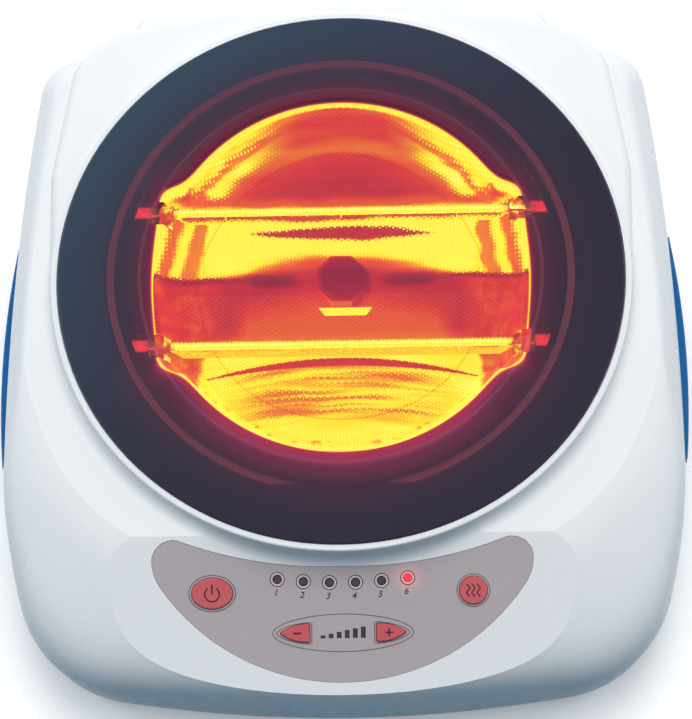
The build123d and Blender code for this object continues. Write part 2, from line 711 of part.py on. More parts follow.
def step_outline(side, grow):
    """A blunt arrowhead that points outward, on the left (-1) or the right (1)."""
    inner = STEP_KEY_INNER - grow
    tip = STEP_KEY_INNER + STEP_KEY_LENGTH + 1.4 * grow
    half = STEP_KEY_WIDTH / 2 + grow
    with BuildSketch() as outline:
        with BuildLine():
            Line((side * inner, STEP_KEY_V), (side * inner, STEP_KEY_V + half))
            ThreePointArc(
                (side * inner, STEP_KEY_V + half),
                (side * (inner + 0.6 * (tip - inner)), STEP_KEY_V + 0.7 * half),
                (side * tip, STEP_KEY_V),
            )
            mirror(about=Plane(origin=(0, STEP_KEY_V, 0), z_dir=(0, 1, 0)))
        make_face()
        fillet(outline.vertices(), radius=1.0)
    return outline.sketch


def minus_outline(grow):
    """The left arrowhead."""
    return step_outline(-1, grow)


def plus_outline(grow):
    """The right arrowhead."""
    return step_outline(1, grow)


KEY_OUTLINES = {
    "on_off_key": on_off_outline,
    "heat_lamp_key": heat_lamp_outline,
    "minus_key": minus_outline,
    "plus_key": plus_outline,
}
STEP_KEY_MIDDLE = STEP_KEY_INNER + 0.45 * STEP_KEY_LENGTH
KEY_CENTRES = {
    "on_off_key": ON_OFF_AT,
    "heat_lamp_key": HEAT_LAMP_AT,
    "minus_key": (-STEP_KEY_MIDDLE, STEP_KEY_V),
    "plus_key": (STEP_KEY_MIDDLE, STEP_KEY_V),
}
LIGHT_CENTRES = []
for index in range(LIGHT_COUNT):
    light_u = (index - (LIGHT_COUNT - 1) / 2) * LIGHT_PITCH
    LIGHT_CENTRES.append((light_u, LIGHT_ROW_V + light_u**2 / (2 * LIGHT_ROW_RADIUS)))


# ---------------------------------------------------------------- grips


def grip(side):
    """A side grip: a crescent bar outside the wall and the finger pocket behind it, in one moulding."""
    pocket_inner = HALF_WIDTH - BODY_LEVELS[0][1] - POCKET_DEPTH
    bar_inner = HALF_WIDTH - GRIP_BAR_DEPTH
    pocket_bottom = SEAM_HEIGHT + GRIP_GAP
    with BuildPart() as crescent:
        with BuildSketch(Plane.XY.offset(GRIP_BAR_BOTTOM)):
            with BuildLine():
                rear_end = (GRIP_REAR_X, GRIP_REAR_Y)
                front_end = (GRIP_FRONT_X, GRIP_FRONT_Y)
                ThreePointArc(rear_end, (GRIP_REACH, GRIP_WIDEST_Y), front_end)
                Polyline(front_end, (bar_inner, GRIP_FRONT_Y), (bar_inner, GRIP_REAR_Y), rear_end)
            make_face()
        extrude(amount=GRIP_BAR_TOP - GRIP_BAR_BOTTOM)
        outer = crescent.faces().sort_by(Axis.X)[-1]
        fillet(outer.edges().filter_by(lambda e: abs((e % 0.5).Z) < 0.5), radius=GRIP_EDGE)
        add(BODY_FORM, mode=Mode.SUBTRACT)
    with BuildPart() as moulding:
        with BuildSketch(Plane.XY.offset(pocket_bottom)):
            with Locations((pocket_inner, POCKET_MIDDLE_Y)):
                Rectangle(2 * POCKET_DEPTH, 2 * POCKET_HALF_LENGTH, align=(Align.MIN, Align.CENTER))
        extrude(amount=GRIP_BAR_TOP - pocket_bottom)
        add(BODY_FORM, mode=Mode.INTERSECT)
        add(crescent.part)
        with BuildSketch(Plane.XY.offset(pocket_bottom + POCKET_WALL)):
            with Locations((pocket_inner + POCKET_WALL, POCKET_MIDDLE_Y)):
                Rectangle(
                    bar_inner - pocket_inner - POCKET_WALL,
                    2 * (POCKET_HALF_LENGTH - POCKET_WALL),
                    align=(Align.MIN, Align.CENTER),
                )
        extrude(amount=GRIP_BAR_TOP - POCKET_WALL - pocket_bottom - POCKET_WALL, mode=Mode.SUBTRACT)
        with BuildSketch(Plane.XY.offset(pocket_bottom + POCKET_WALL)):
            with Locations((bar_inner - 1, POCKET_MIDDLE_Y)):
                Rectangle(
                    POCKET_DEPTH,
                    2 * (POCKET_HALF_LENGTH - POCKET_WALL),
                    align=(Align.MIN, Align.CENTER),
                )
        extrude(amount=GRIP_BAR_BOTTOM - pocket_bottom - POCKET_WALL, mode=Mode.SUBTRACT)
    if side > 0:
        return moulding
    with BuildPart() as other:
        add(moulding.part)
        mirror(about=Plane.YZ, mode=Mode.REPLACE)
    return other


# ---------------------------------------------------------------- upper shell

OUTER_FORM = housing(0)

with BuildPart() as screw_posts:
    with BuildSketch(Plane.XY.offset(POST_BOTTOM)):
        with Locations(*SCREW_POSTS):
            Circle(POST_RADIUS)
    extrude(amount=80)
    add(housing(WALL / 2), mode=Mode.INTERSECT)
    with BuildSketch(Plane.XY.offset(POST_BOTTOM)):
        with Locations(*SCREW_POSTS):
            Circle(SCREW_RADIUS + SCREW_GAP)
    extrude(amount=SCREW_DEPTH + 2, mode=Mode.SUBTRACT)

with BuildPart() as top_shell:
    add(OUTER_FORM)
    add(housing(WALL), mode=Mode.SUBTRACT)
    # seat of the glass, and the round opening over the heater
    with BuildSketch(Plane.XY.offset(LEDGE_Z)):
        with Locations((0, GLASS_Y)):
            Circle(SEAT_RADIUS)
    extrude(amount=THROUGH, mode=Mode.SUBTRACT)
    with BuildSketch(Plane.XY.offset(LEDGE_Z - THROUGH)):
        with Locations((0, GLASS_Y)):
            Circle(LEDGE_RADIUS)
    extrude(amount=2 * THROUGH, mode=Mode.SUBTRACT)
    # recess of the key panel, with its openings
    with BuildSketch(PANEL_PLANE.offset(-PANEL_RECESS)):
        add(panel_outline(0))
    extrude(amount=THROUGH, mode=Mode.SUBTRACT)
    with BuildSketch(PANEL_PLANE):
        for outline in KEY_OUTLINES.values():
            add(outline(KEY_GAP))
        with Locations(*LIGHT_CENTRES):
            Circle(LIGHT_RADIUS + LIGHT_GAP)
    extrude(amount=-2 * (PANEL_RECESS + PANEL_FLOOR), mode=Mode.SUBTRACT)
    with BuildSketch(PANEL_PLANE.offset(DISPLAY_BOARD_TOP)):
        with Locations(*BOARD_POSTS):
            Circle(BOARD_POST_RADIUS)
            Circle(BOARD_SCREW_RADIUS + SCREW_GAP, mode=Mode.SUBTRACT)
    extrude(amount=SHELL_UNDER_PANEL - DISPLAY_BOARD_TOP + 0.4)
    # air outlet in the rear pod
    for side in (-1, 1):
        with BuildSketch(Plane.XZ.offset(-POD_REACH + THROUGH / 2)):
            with Locations((side * (BOSS_HALF_WIDTH + VENT_MARGIN + VENT_LENGTH / 2), VENT_Z)):
                with GridLocations(1, VENT_PITCH, 1, VENT_ROWS):
                    SlotOverall(VENT_LENGTH, VENT_WIDTH)
        extrude(amount=-THROUGH, mode=Mode.SUBTRACT)
    # notch of the cord boss
    add(boss_form(-BOSS_GAP), mode=Mode.SUBTRACT)
    # openings of the side grips
    with BuildSketch(Plane.XY.offset(SEAM_HEIGHT - 1)):
        with Locations((HALF_WIDTH, POCKET_MIDDLE_Y), (-HALF_WIDTH, POCKET_MIDDLE_Y)):
            Rectangle(2 * (POCKET_DEPTH + GRIP_OPENING_MARGIN), 2 * (POCKET_HALF_LENGTH + GRIP_GAP))
    extrude(amount=GRIP_BAR_TOP + GRIP_GAP - SEAM_HEIGHT + 1, mode=Mode.SUBTRACT)
    add(screw_posts.part)
    rim_edges = top_shell.edges().filter_by(GeomType.CIRCLE).filter_by(
        lambda e: abs(e.center().Z - RIM_TOP) < 0.01
    )
    fillet(rim_edges.filter_by(lambda e: e.radius > SEAT_RADIUS + 1), radius=RIM_EDGE)
write(top_shell, "top_shell")

flange_bottom = UPSTAND_HEIGHT + 2 * UPSTAND_GAP
with BuildPart() as cord_boss:
    add(boss_form(0))
    add(boss_form(WALL), mode=Mode.SUBTRACT)
    split(bisect_by=Plane(origin=(0, POD_REACH - WALL - BOSS_SLEEVE, 0), z_dir=(0, 1, 0)), keep=Keep.TOP)
    # behind the wall of the pod it clears the tray's upstand, and a flange holds it
    with BuildSketch(Plane.XY.offset(SEAM_HEIGHT)):
        with Locations((0, POD_REACH - WALL)):
            Rectangle(2 * (BOSS_HALF_WIDTH + 1), 2 * BOSS_SLEEVE, align=(Align.CENTER, Align.MAX))
    extrude(amount=flange_bottom - SEAM_HEIGHT, mode=Mode.SUBTRACT)
    with BuildSketch(Plane.XZ.offset(-POD_REACH + WALL + BOSS_FLANGE_GAP)):
        with Locations((0, flange_bottom)):
            Rectangle(
                2 * (BOSS_HALF_WIDTH + BOSS_FLANGE),
                BOSS_TOP + BOSS_FLANGE - flange_bottom,
                align=(Align.CENTER, Align.MIN),
            )
            Rectangle(
                2 * (BOSS_HALF_WIDTH - WALL),
                BOSS_TOP - WALL - flange_bottom,
                align=(Align.CENTER, Align.MIN),
                mode=Mode.SUBTRACT,
            )
    extrude(amount=BOSS_FLANGE_THICKNESS)
    # hole of the cord bushing
    with BuildSketch(Plane.XZ.offset(-POD_REACH)):
        with Locations((0, CORD_Z)):
            Circle(BUSHING_RADIUS + BUSHING_GAP)
    extrude(amount=POD_REACH - BOSS_REACH - 1, mode=Mode.SUBTRACT)
write(cord_boss, "cord_boss")

for side, name in ((-1, "left_grip"), (1, "right_grip")):
    write(grip(side), name)

# ---------------------------------------------------------------- base tray, feet and screws

with BuildPart() as base_tray:
    with BuildSketch(Plane.XY.offset(TRAY_BOTTOM)):
        add(footprint(TRAY_INSET))
    extrude(amount=SEAM_HEIGHT - TRAY_BOTTOM)
    with BuildSketch(Plane.XY.offset(TRAY_TOP)):
        add(footprint(WALL + UPSTAND_GAP))
    extrude(amount=UPSTAND_HEIGHT - TRAY_TOP)
    with BuildSketch(Plane.XY.offset(TRAY_TOP)):
        add(footprint(WALL + UPSTAND_GAP + UPSTAND_THICKNESS))
    extrude(amount=2 * THROUGH, mode=Mode.SUBTRACT)
    # gaps of the upstand at the side grips
    with BuildSketch(Plane.XY.offset(SEAM_HEIGHT)):
        with Locations((HALF_WIDTH, POCKET_MIDDLE_Y), (-HALF_WIDTH, POCKET_MIDDLE_Y)):
            Rectangle(2 * (POCKET_DEPTH + GRIP_OPENING_MARGIN), 2 * (POCKET_HALF_LENGTH + 1))
    extrude(amount=THROUGH, mode=Mode.SUBTRACT)
    # screw bosses, with the heads sunk from below
    with BuildSketch(Plane.XY.offset(TRAY_BOTTOM)):
        with Locations(*SCREW_POSTS):
            Circle(TRAY_BOSS_RADIUS)
    extrude(amount=POST_BOTTOM - POST_GAP - TRAY_BOTTOM)
    with BuildSketch(Plane.XY.offset(TRAY_BOTTOM)):
        with Locations(*SCREW_POSTS):
            Circle(SCREW_HEAD_RADIUS + SCREW_HEAD_GAP)
    extrude(amount=SCREW_HEAD_SUNK, mode=Mode.SUBTRACT)
    with BuildSketch(Plane.XY.offset(TRAY_BOTTOM)):
        with Locations(*SCREW_POSTS):
            Circle(SCREW_RADIUS + SCREW_PASS)
        with Locations(*FOOT_PLACES.values()):
            Circle(FOOT_SPIGOT_RADIUS + FOOT_SPIGOT_GAP)
    extrude(amount=THROUGH, mode=Mode.SUBTRACT)
    # air inlet under the fan, and the pads and posts of the fan and the power board
    with BuildSketch(Plane.XY.offset(TRAY_BOTTOM)):
        with Locations(FAN_AT):
            with PolarLocations(INLET_RADIUS, INLET_COUNT):
                Rectangle(INLET_LENGTH, INLET_WIDTH)
    extrude(amount=TRAY_FLOOR, mode=Mode.SUBTRACT)
    for places, top in ((FAN_SCREWS, FAN_BOTTOM), (POWER_BOARD_SCREWS, POWER_BOARD_BOTTOM)):
        with BuildSketch(Plane.XY.offset(TRAY_TOP)):
            with Locations(*places):
                Rectangle(PAD_WIDTH, PAD_WIDTH)
            with Locations(*places[1:3]):
                Circle(SCREW_RADIUS + SCREW_GAP, mode=Mode.SUBTRACT)
        extrude(amount=top - TRAY_TOP)
write(base_tray, "base_tray")

for name, (foot_x, foot_y) in FOOT_PLACES.items():
    with BuildPart() as foot:
        with BuildSketch(Plane.XZ):
            with BuildLine():
                Polyline(
                    (0, 0),
                    (FOOT_RADIUS - FOOT_EDGE_WIDTH, 0),
                    (FOOT_RADIUS, FOOT_EDGE_HEIGHT),
                    (FOOT_RADIUS, FOOT_HEIGHT),
                    (FOOT_SPIGOT_RADIUS, FOOT_HEIGHT),
                    (FOOT_SPIGOT_RADIUS, TRAY_TOP + FOOT_SPIGOT_PROUD),
                    (0, TRAY_TOP + FOOT_SPIGOT_PROUD),
                    close=True,
                )
            make_face()
        revolve(axis=Axis.Z)
        add(foot.part.moved(Location((foot_x, foot_y, 0))), mode=Mode.REPLACE)
    write(foot, name)


def screws(places, head_face, shank, head_radius, head_height, depth):
    """A set of like hexagon-head screws; their heads sit on the plane head_face."""
    with BuildPart() as group:
        with BuildSketch(head_face):
            with Locations(*places):
                RegularPolygon(head_radius, 6)
        extrude(amount=-head_height)
        with BuildSketch(head_face):
            with Locations(*places):
                Circle(shank)
        extrude(amount=depth)
    return group


base_head_face = Plane.XY.offset(TRAY_BOTTOM + SCREW_HEAD_SUNK)
write(
    screws(SCREW_POSTS, base_head_face, SCREW_RADIUS, SCREW_HEAD_RADIUS, SCREW_HEAD_HEIGHT, SCREW_DEPTH),
    "base_screws",
)

# ---------------------------------------------------------------- glass

with BuildPart() as glass_plate:
    with BuildSketch(Plane.XY.offset(GLASS_BOTTOM)):
        with Locations((0, GLASS_Y)):
            Circle(GLASS_RADIUS)
    extrude(amount=GLASS_THICKNESS)
    chamfer(glass_plate.faces().sort_by(Axis.Z)[-1].edges(), length=GLASS_EDGE)
write(glass_plate, "glass_plate")

with BuildPart() as glass_gasket:
    with BuildSketch(Plane.XY.offset(LEDGE_Z)):
        with Locations((0, GLASS_Y)):
            Circle(LEDGE_RADIUS + GASKET_WIDTH + 2)
            Circle(LEDGE_RADIUS + 2, mode=Mode.SUBTRACT)
    extrude(amount=GASKET_THICKNESS)
write(glass_gasket, "glass_gasket")

# ---------------------------------------------------------------- heater

HEATER_PLANE = Plane.XZ.offset(-GLASS_Y)
HEATER_AXIS = Axis((0, GLASS_Y, 0), (0, 0, 1))

with BuildPart() as heater_pan:
    with BuildSketch(HEATER_PLANE):
        with BuildLine():
            outer = PAN_RADIUS - PAN_STEP
            Polyline(
                (0, PAN_BOTTOM),
                (outer, PAN_BOTTOM),
                (outer, PAN_SHOULDER - PAN_SHEET),
                (PAN_RADIUS, PAN_SHOULDER - PAN_SHEET),
                (PAN_RADIUS, PAN_TOP),
                (PAN_RADIUS - PAN_SHEET, PAN_TOP),
                (PAN_RADIUS - PAN_SHEET, PAN_SHOULDER),
                (outer - PAN_SHEET, PAN_SHOULDER),
                (outer - PAN_SHEET, PAN_BOTTOM + PAN_CORNER),
                (outer - PAN_CORNER, PAN_BOTTOM + PAN_SHEET),
                (0, PAN_BOTTOM + PAN_SHEET),
                close=True,
            )
        make_face()
    revolve(axis=HEATER_AXIS)
    floor_edges = heater_pan.edges().filter_by(GeomType.CIRCLE)
    chamfer(floor_edges.filter_by(lambda e: abs(e.center().Z - PAN_BOTTOM) < 0.01), length=PAN_CORNER)
    with BuildSketch(Plane.XY.offset(PAN_BOTTOM)):
        with Locations(*LEAD_HOLES):
            Circle(LEAD_HOLE_RADIUS)
    extrude(amount=2 * PAN_SHEET, mode=Mode.SUBTRACT)
write(heater_pan, "heater_pan")


def dish_hollow(grow):
    """The hollow of the reflector, with flaring walls over a floor of two troughs and a ridge."""
    depth = DISH_TOP - TROUGH_Z + 6
    spread = depth * math.tan(math.radians(DISH_DRAFT))
    with BuildPart() as hollow:
        with Locations((0, GLASS_Y, DISH_TOP)):
            Cone(
                DISH_RADIUS + grow - spread,
                DISH_RADIUS + grow,
                depth,
                align=(Align.CENTER, Align.CENTER, Align.MAX),
            )
        for height, drawn in ((DISH_TOP - depth, spread), (DISH_TOP, 0)):
            with BuildSketch(Plane.XY.offset(height)):
                with Locations((0, GLASS_Y)):
                    RectangleRounded(
                        2 * (DISH_EAR_HALF_X + grow - drawn),
                        2 * (DISH_EAR_HALF_Y + grow - drawn / 3),
                        DISH_EAR_RADIUS,
                    )
        loft()
        # the floor, the same all along X
        floor_plane = Plane(origin=(-PAN_RADIUS, GLASS_Y, -grow), x_dir=(0, 1, 0), z_dir=(1, 0, 0))
        with BuildSketch(floor_plane):
            with BuildLine():
                trough = TangentArc(
                    (LAMP_SPACING / 2, TROUGH_Z), (TROUGH_EDGE_Y, DISH_TOP + DISH_SHEET + 1), tangent=(1, 0)
                )
                rise = TangentArc(trough @ 0, (RIDGE_HALF, RIDGE_SIDE_Z), tangent=(-1, 0))
                Line(rise @ 1, (0, RIDGE_Z))
                Polyline(trough @ 1, (TROUGH_EDGE_Y, DISH_TOP + 20), (0, DISH_TOP + 20))
                mirror(about=Plane.YZ)
            make_face()
        extrude(amount=2 * PAN_RADIUS, mode=Mode.INTERSECT)
    return hollow.part


with BuildPart() as reflector_dish:
    add(dish_hollow(DISH_SHEET))
    with BuildSketch(Plane.XY.offset(DISH_TOP - DISH_SHEET)):
        with Locations((0, GLASS_Y)):
            Circle(PAN_RADIUS - PAN_SHEET - SHEET_GAP)
    extrude(amount=DISH_SHEET)
    add(dish_hollow(0), mode=Mode.SUBTRACT)
    with BuildSketch(Plane.XY.offset(DISH_BOSS_TOP)):
        with Locations((0, GLASS_Y)):
            RegularPolygon(DISH_BOSS_WIDTH / 2, 8, major_radius=False, rotation=22.5)
    extrude(amount=DISH_BOSS_BOTTOM - DISH_BOSS_TOP)
    # windows for the lamp ends
    with BuildSketch(Plane.XY.offset(LAMP_Z - LAMP_RADIUS - 1)):
        for side in (-1, 1):
            with Locations((side * (WINDOW_INNER_X + WINDOW_OUTER_X) / 2, GLASS_Y)):
                with GridLocations(1, LAMP_SPACING, 1, 2):
                    Rectangle(WINDOW_OUTER_X - WINDOW_INNER_X, CAP_WIDTH + 3)
    extrude(amount=20, mode=Mode.SUBTRACT)
write(reflector_dish, "reflector_dish")

with BuildPart() as insulating_ring:
    with BuildSketch(Plane.XY.offset(DISH_TOP)):
        with Locations((0, GLASS_Y)):
            Circle(PAN_RADIUS - PAN_SHEET - SHEET_GAP)
            Circle(PAN_RADIUS - RING_WIDTH, mode=Mode.SUBTRACT)
    extrude(amount=GLASS_BOTTOM - RING_CLEARANCE - DISH_TOP)
write(insulating_ring, "insulating_ring")

for name, side in (("front", -1), ("rear", 1)):
    lamp_y = GLASS_Y + side * LAMP_SPACING / 2
    lamp_end = CAP_INNER_X + CAP_BORE_DEPTH - SHEET_GAP
    with BuildPart() as tube:
        with BuildSketch(Plane.YZ.offset(-lamp_end)):
            with Locations((lamp_y, LAMP_Z)):
                Circle(LAMP_RADIUS)
                Circle(LAMP_RADIUS - LAMP_WALL, mode=Mode.SUBTRACT)
        extrude(amount=2 * lamp_end)
    write(tube, f"{name}_lamp_tube")
    with BuildPart() as filament:
        with BuildSketch(Plane.YZ.offset(-FILAMENT_HALF)):
            with Locations((lamp_y, LAMP_Z)):
                Circle(FILAMENT_RADIUS)
        extrude(amount=2 * FILAMENT_HALF)
        with BuildSketch(Plane.YZ.offset(-lamp_end)):
            with Locations((lamp_y, LAMP_Z)):
                Circle(FILAMENT_RADIUS / 2)
        extrude(amount=2 * lamp_end)
        for count in range(FILAMENT_SUPPORTS):
            support_x = (count - (FILAMENT_SUPPORTS - 1) / 2) * FILAMENT_SUPPORT_PITCH
            with BuildSketch(Plane.YZ.offset(support_x)):
                with Locations((lamp_y, LAMP_Z)):
                    RegularPolygon(LAMP_RADIUS - LAMP_WALL - 0.05, 6)
            extrude(amount=0.4)
    write(filament, f"{name}_filament")

for name, side_x, side_y in (
    ("front_left", -1, -1),
    ("front_right", 1, -1),
    ("rear_left", -1, 1),
    ("rear_right", 1, 1),
):
    lamp_y = GLASS_Y + side_y * LAMP_SPACING / 2
    inner_face = Plane(origin=(side_x * CAP_INNER_X, lamp_y, LAMP_Z), x_dir=(0, 1, 0), z_dir=(side_x, 0, 0))
    with BuildPart() as cap:
        with BuildSketch(inner_face):
            Rectangle(CAP_WIDTH, CAP_HEIGHT)
        extrude(amount=CAP_LENGTH)
        chamfer(cap.edges().filter_by(Axis.X), length=CAP_EDGE)
        with BuildSketch(inner_face):
            Circle(LAMP_RADIUS + CAP_FIT)
        extrude(amount=CAP_BORE_DEPTH, mode=Mode.SUBTRACT)
    write(cap, f"lamp_cap_{name}")

for name, side in (("left", -1), ("right", 1)):
    with BuildPart() as bracket:
        with BuildSketch(Plane.YZ.offset(side * BRACKET_X)):
            with Locations((GLASS_Y, (PAN_BOTTOM + PAN_SHEET + LAMP_Z) / 2)):
                Rectangle(2 * BRACKET_HALF_LENGTH, LAMP_Z - PAN_BOTTOM - PAN_SHEET)
            with Locations((GLASS_Y, LAMP_Z)):
                with GridLocations(LAMP_SPACING, 1, 2, 1):
                    Rectangle(CAP_WIDTH + 0.2, CAP_HEIGHT, mode=Mode.SUBTRACT)
                Rectangle(LAMP_SPACING - CAP_WIDTH - 8, CAP_HEIGHT, mode=Mode.SUBTRACT)
        extrude(amount=-side * BRACKET_SHEET)
        with BuildSketch(Plane.XY.offset(PAN_BOTTOM + PAN_SHEET)):
            with Locations((side * (BRACKET_X - BRACKET_FOOT / 2), GLASS_Y)):
                Rectangle(BRACKET_FOOT, 2 * BRACKET_HALF_LENGTH)
        extrude(amount=BRACKET_SHEET)
    write(bracket, f"lamp_bracket_{name}")

for index, place in enumerate(SUPPORT_PLACES, start=1):
    with BuildPart() as support:
        with BuildSketch(Plane(place) * Plane.XZ.offset(-SUPPORT_LENGTH / 2).location):
            with BuildLine():
                Polyline(
                    (SUPPORT_DEPTH / 2, TRAY_TOP + SUPPORT_SHEET / 2),
                    (-SUPPORT_DEPTH / 2, TRAY_TOP + SUPPORT_SHEET / 2),
                    (-SUPPORT_DEPTH / 2, SUPPORT_TOP - SUPPORT_SHEET / 2),
                    (SUPPORT_DEPTH / 2, SUPPORT_TOP - SUPPORT_SHEET / 2),
                )
            trace(line_width=SUPPORT_SHEET)
        extrude(amount=SUPPORT_LENGTH)
    write(support, f"heater_support_{index}")
    with BuildPart() as spring:
        with BuildSketch(Plane(place) * Plane.YZ.offset(-SPRING_WIDTH / 2).location):
            with BuildLine():
                low = SUPPORT_TOP + SPRING_SHEET / 2
                high = PAN_BOTTOM - SPRING_SHEET / 2
                Line((-SPRING_HALF - SPRING_FOOT, low), (-SPRING_HALF, low))
                ThreePointArc((-SPRING_HALF, low), (0, high), (SPRING_HALF, low))
                Line((SPRING_HALF, low), (SPRING_HALF + SPRING_FOOT, low))
            trace(line_width=SPRING_SHEET)
        extrude(amount=SPRING_WIDTH)
    write(spring, f"heater_spring_{index}")

with BuildPart() as thermal_cutout:
    with BuildSketch(Plane.XY.offset(PAN_BOTTOM - CUTOUT_HEIGHT)):
        with Locations((0, GLASS_Y)):
            Circle(CUTOUT_RADIUS)
    extrude(amount=CUTOUT_HEIGHT - CUTOUT_FLANGE)
    with BuildSketch(Plane.XY.offset(PAN_BOTTOM - CUTOUT_FLANGE)):
        with Locations((0, GLASS_Y)):
            Circle(CUTOUT_RADIUS + CUTOUT_FLANGE)
    extrude(amount=CUTOUT_FLANGE)
    with BuildSketch(Plane.XY.offset(PAN_BOTTOM - CUTOUT_HEIGHT)):
        with Locations((0, GLASS_Y)):
            with GridLocations(CUTOUT_RADIUS + 1, 1, 2, 1):
                Rectangle(CUTOUT_TAB[0], CUTOUT_TAB[1])
    extrude(amount=-CUTOUT_TAB[2])
write(thermal_cutout, "thermal_cutout")

with BuildPart() as lamp_leads:
    for route in LEAD_ROUTES:
        with BuildLine() as path:
            FilletPolyline(*route, radius=LEAD_BEND)
        with BuildSketch(Plane(origin=route[0], z_dir=(0, 0, -1))):
            RegularPolygon(LEAD_RADIUS, 6)
        sweep(path=path.line)
write(lamp_leads, "lamp_leads")

# ---------------------------------------------------------------- power electronics

with BuildPart() as power_board:
    with BuildSketch(Plane.XY.offset(POWER_BOARD_BOTTOM)):
        with Locations(POWER_BOARD_AT):
            Rectangle(POWER_BOARD_LENGTH, POWER_BOARD_WIDTH)
        with Locations(*POWER_BOARD_SCREWS[1:3]):
            Circle(SCREW_RADIUS + SCREW_PASS, mode=Mode.SUBTRACT)
    extrude(amount=BOARD_THICKNESS)
write(power_board, "power_board")

board_top = POWER_BOARD_BOTTOM + BOARD_THICKNESS
board_x, board_y = POWER_BOARD_AT
sink_x = board_x + HEATSINK_AT[0]
sink_y = board_y + HEATSINK_AT[1]

with BuildPart() as heatsink:
    with BuildSketch(Plane.XY.offset(board_top)):
        with Locations((sink_x, sink_y)):
            Rectangle(HEATSINK_LENGTH, HEATSINK_BASE)
        with Locations((sink_x, sink_y + HEATSINK_BASE / 2)):
            with GridLocations(HEATSINK_LENGTH / HEATSINK_FINS, 1, HEATSINK_FINS, 1):
                Rectangle(HEATSINK_FIN_SHEET, HEATSINK_FIN_DEPTH, align=(Align.CENTER, Align.MIN))
    extrude(amount=HEATSINK_HEIGHT)
write(heatsink, "heatsink")

with BuildPart() as triac:
    with BuildSketch(Plane.XY.offset(board_top + TRIAC_STANDS)):
        with Locations((sink_x, sink_y - HEATSINK_BASE / 2)):
            Rectangle(TRIAC_WIDTH, TRIAC_DEPTH, align=(Align.CENTER, Align.MAX))
    extrude(amount=TRIAC_HEIGHT)
    with BuildSketch(Plane.XY.offset(board_top)):
        with Locations((sink_x, sink_y - HEATSINK_BASE / 2 - 2.5)):
            with GridLocations(TRIAC_LEG_PITCH, 1, 3, 1):
                Rectangle(0.8, 0.6)
    extrude(amount=TRIAC_STANDS + 1)
write(triac, "triac")


def board_block(at, size, edge):
    """A moulded component that stands on the power board."""
    length, width, height = size
    with BuildPart() as block:
        with BuildSketch(Plane.XY.offset(board_top)):
            with Locations((board_x + at[0], board_y + at[1])):
                Rectangle(length, width)
        extrude(amount=height)
        fillet(block.edges().filter_by(Axis.Z), radius=edge)
    return block


write(board_block(CAPACITOR_AT, CAPACITOR_SIZE, CAPACITOR_EDGE), "filter_capacitor")
write(board_block(RELAY_AT, RELAY_SIZE, RELAY_EDGE), "relay")

foot_depth, foot_height = TRANSFORMER_FOOT
core_depth, core_height = TRANSFORMER_CORE
coil_length, coil_depth, coil_height = TRANSFORMER_COIL
with BuildPart() as transformer:
    with Locations((board_x + TRANSFORMER_AT[0], board_y + TRANSFORMER_AT[1], board_top)):
        Box(TRANSFORMER_LENGTH, foot_depth, foot_height, align=(Align.CENTER, Align.CENTER, Align.MIN))
    with BuildSketch(Plane.XY.offset(board_top + foot_height)):
        with Locations((board_x + TRANSFORMER_AT[0], board_y + TRANSFORMER_AT[1])):
            Rectangle(TRANSFORMER_LENGTH, core_depth)
    extrude(amount=core_height)
    with BuildSketch(Plane.XY.offset(board_top + foot_height)):
        with Locations((board_x + TRANSFORMER_AT[0], board_y + TRANSFORMER_AT[1])):
            RectangleRounded(coil_length, coil_depth, 4)
    extrude(amount=coil_height)
write(transformer, "transformer")

power_head_face = Plane(origin=(0, 0, board_top), x_dir=(1, 0, 0), z_dir=(0, 0, -1))
mirrored_places = [(place[0], -place[1]) for place in POWER_BOARD_SCREWS[1:3]]
write(
    screws(
        mirrored_places,
        power_head_face,
        SCREW_RADIUS,
        SMALL_HEAD_RADIUS,
        SMALL_HEAD_HEIGHT,
        BOARD_SCREW_DEPTH,
    ),
    "board_screws",
)

with BuildPart() as terminal_block:
    with BuildSketch(Plane.XY.offset(TRAY_TOP)):
        with Locations(TERMINAL_AT):
            Rectangle(TERMINAL_SIZE[0], TERMINAL_SIZE[1])
    extrude(amount=TERMINAL_SIZE[2])
    chamfer(terminal_block.faces().sort_by(Axis.Z)[-1].edges(), length=1)
    with BuildSketch(Plane.XY.offset(TRAY_TOP + TERMINAL_SIZE[2])):
        with Locations(TERMINAL_AT):
            with GridLocations(TERMINAL_PITCH, 1, 3, 1):
                Circle(TERMINAL_HOLE_RADIUS)
    extrude(amount=-TERMINAL_HOLE_DEPTH, mode=Mode.SUBTRACT)
write(terminal_block, "terminal_block")

with BuildPart() as cord_bushing:
    with BuildSketch(Plane.YZ):
        with BuildLine():
            outside = BOSS_REACH + BUSHING_FLANGE
            inside = BOSS_REACH - WALL - BUSHING_CLIP
            Polyline(
                (inside, CORD_Z + CORD_RADIUS),
                (outside, CORD_Z + CORD_RADIUS),
                (outside, CORD_Z + BUSHING_RADIUS + BUSHING_FLANGE_WIDTH - 1),
                (BOSS_REACH, CORD_Z + BUSHING_RADIUS + BUSHING_FLANGE_WIDTH),
                (BOSS_REACH, CORD_Z + BUSHING_RADIUS),
                (BOSS_REACH - WALL, CORD_Z + BUSHING_RADIUS),
                (BOSS_REACH - WALL, CORD_Z + BUSHING_RADIUS + BUSHING_CLIP_WIDTH),
                (inside, CORD_Z + BUSHING_RADIUS - 1),
                close=True,
            )
        make_face()
    revolve(axis=Axis((0, 0, CORD_Z), (0, 1, 0)))
write(cord_bushing, "cord_bushing")

# ---------------------------------------------------------------- fan

fan_x, fan_y = FAN_AT
FAN_TOP = FAN_BOTTOM + FAN_HEIGHT

